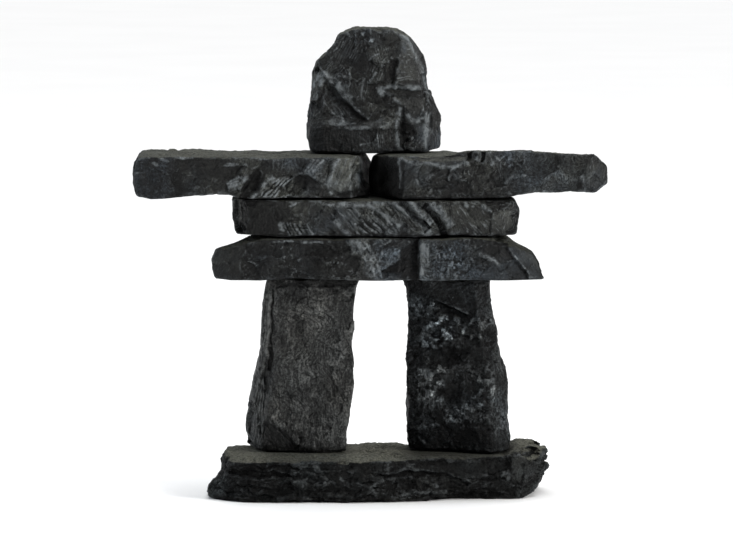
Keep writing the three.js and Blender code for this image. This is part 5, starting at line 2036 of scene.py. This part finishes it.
class HeadStone(Stone):
    """The knapped block on the arms' inner ends."""

    def __init__(self) -> None:
        """Sets the block's sizes."""
        relief = Relief(
            flake=(8.0, 8.0, 8.0), flake_depth=0.4, grain=(1.8, 1.8, 1.8), grain_depth=0.2, layer_depth=0.0,
        )
        super().__init__("head_stone", HEAD_SLATE, relief, 83, HEAD_CARVING, way=75.0)


@dataclass(frozen=True)
class Softbox:
    """A rectangular lamp that points at the figure. Lengths are in metres."""

    name: str
    place: Spot
    size: tuple[float, float]
    energy: float
    colour: Colour


@dataclass
class Studio:
    """The floor, the light and the camera. Lengths are in metres."""

    camera_place: Spot = (-0.001616, -1.648649, 0.2757)
    camera_aim: Spot = (-0.001616, 0.001351, 0.093054)
    lens: float = 193.0
    sensor: float = 36.0
    floor_radius: float = 14.0
    floor_sides: int = 96
    floor_tone: float = 0.9
    floor_cloud: float = 0.01
    sky: float = 0.12
    sky_colour: Colour = (0.94, 0.97, 1.0)
    sun: float = 3.15
    sun_spread: float = 60.0
    sun_place: Spot = (0.1, 0.25, 1.2)
    light_aim: Spot = (0.0, 0.0, 0.1)
    boxes: tuple[Softbox, ...] = (
        Softbox("key", (1.6, -0.8, 0.85), (0.6, 0.8), 32.0, (1.0, 0.99, 0.97)),
        Softbox("rim", (-1.4, 0.15, 0.8), (0.5, 0.8), 10.0, (0.86, 0.93, 1.0)),
    )

    def build(self) -> None:
        """Sets the studio up."""
        self.floor()
        self.lights()
        self.camera()

    def floor(self) -> None:
        """Lays a plain pale floor."""
        turns = [2 * math.pi * side / self.floor_sides for side in range(self.floor_sides)]
        radius = self.floor_radius
        ring = [(radius * math.cos(turn), radius * math.sin(turn), 0.0) for turn in turns]
        mesh = bpy.data.meshes.new("floor")
        mesh.from_pydata(ring, [], [tuple(range(self.floor_sides))])
        floor = bpy.data.objects.new("floor", mesh)
        bpy.context.scene.collection.objects.link(floor)
        material = bpy.data.materials.new("Pale floor")
        material.use_nodes = True
        board = Wiring(material.node_tree)
        shader = material.node_tree.nodes["Principled BSDF"]
        cloud = board.noise(board.add("ShaderNodeTexCoord").outputs["Object"], 6.0)["Fac"]
        darkest, palest = self.floor_tone - self.floor_cloud, self.floor_tone + self.floor_cloud
        tone = board.ranged(cloud, 0.2, 0.8, darkest, palest)
        board.plug(shader.inputs["Base Color"], board.alike("ShaderNodeCombineColor", tone))
        board.plug(shader.inputs["Roughness"], 0.9)
        board.plug(shader.inputs["Specular IOR Level"], 0.1)
        mesh.materials.append(material)

    def lights(self) -> None:
        """Hangs a broad soft sun over the figure, and a softbox at its front right and behind its left."""
        world = bpy.data.worlds.new("Studio")
        world.use_nodes = True
        background = world.node_tree.nodes["Background"]
        background.inputs["Color"].default_value = (*self.sky_colour, 1.0)
        background.inputs["Strength"].default_value = self.sky
        bpy.context.scene.world = world

        sun = bpy.data.lights.new("sun", "SUN")
        sun.energy = self.sun
        sun.angle = math.radians(self.sun_spread)
        self.aimed(sun, self.sun_place, self.light_aim)
        for box in self.boxes:
            lamp = bpy.data.lights.new(box.name, "AREA")
            lamp.shape = "RECTANGLE"
            lamp.size, lamp.size_y = box.size
            lamp.energy = box.energy
            lamp.color = box.colour
            self.aimed(lamp, box.place, self.light_aim)

    @staticmethod
    def aimed(data: bpy.types.Light | bpy.types.Camera, place: Spot, aim: Spot) -> bpy.types.Object:
        """Puts a light or a camera at a place and turns it to an aim.

        Args:
            data: the light or the camera.
            place: where it goes.
            aim: what it looks at.

        Returns:
            Its object.
        """
        thing = bpy.data.objects.new(data.name, data)
        bpy.context.scene.collection.objects.link(thing)
        thing.location = place
        thing.rotation_euler = (Vector(aim) - Vector(place)).to_track_quat("-Z", "Y").to_euler()
        return thing

    def camera(self) -> None:
        """Stands the camera in front, a little above the figure."""
        data = bpy.data.cameras.new("camera")
        data.lens = self.lens
        data.sensor_width = self.sensor
        data.clip_start, data.clip_end = 0.05, 60.0
        bpy.context.scene.camera = self.aimed(data, self.camera_place, self.camera_aim)
        bpy.context.scene.view_settings.view_transform = "Standard"


def main() -> None:
    """Builds the figure from the base up, then the studio."""
    logging.basicConfig(level=logging.INFO, format="%(name)s: %(message)s")
    shop = Workshop()
    stones = (BaseSlab(), LeftLeg(), RightLeg(), Lintel(), Waist(), LeftArm(), RightArm(), HeadStone())
    for stone in stones:
        stone.build(shop)
    Studio().build()


if __name__ == "__main__":
    main()
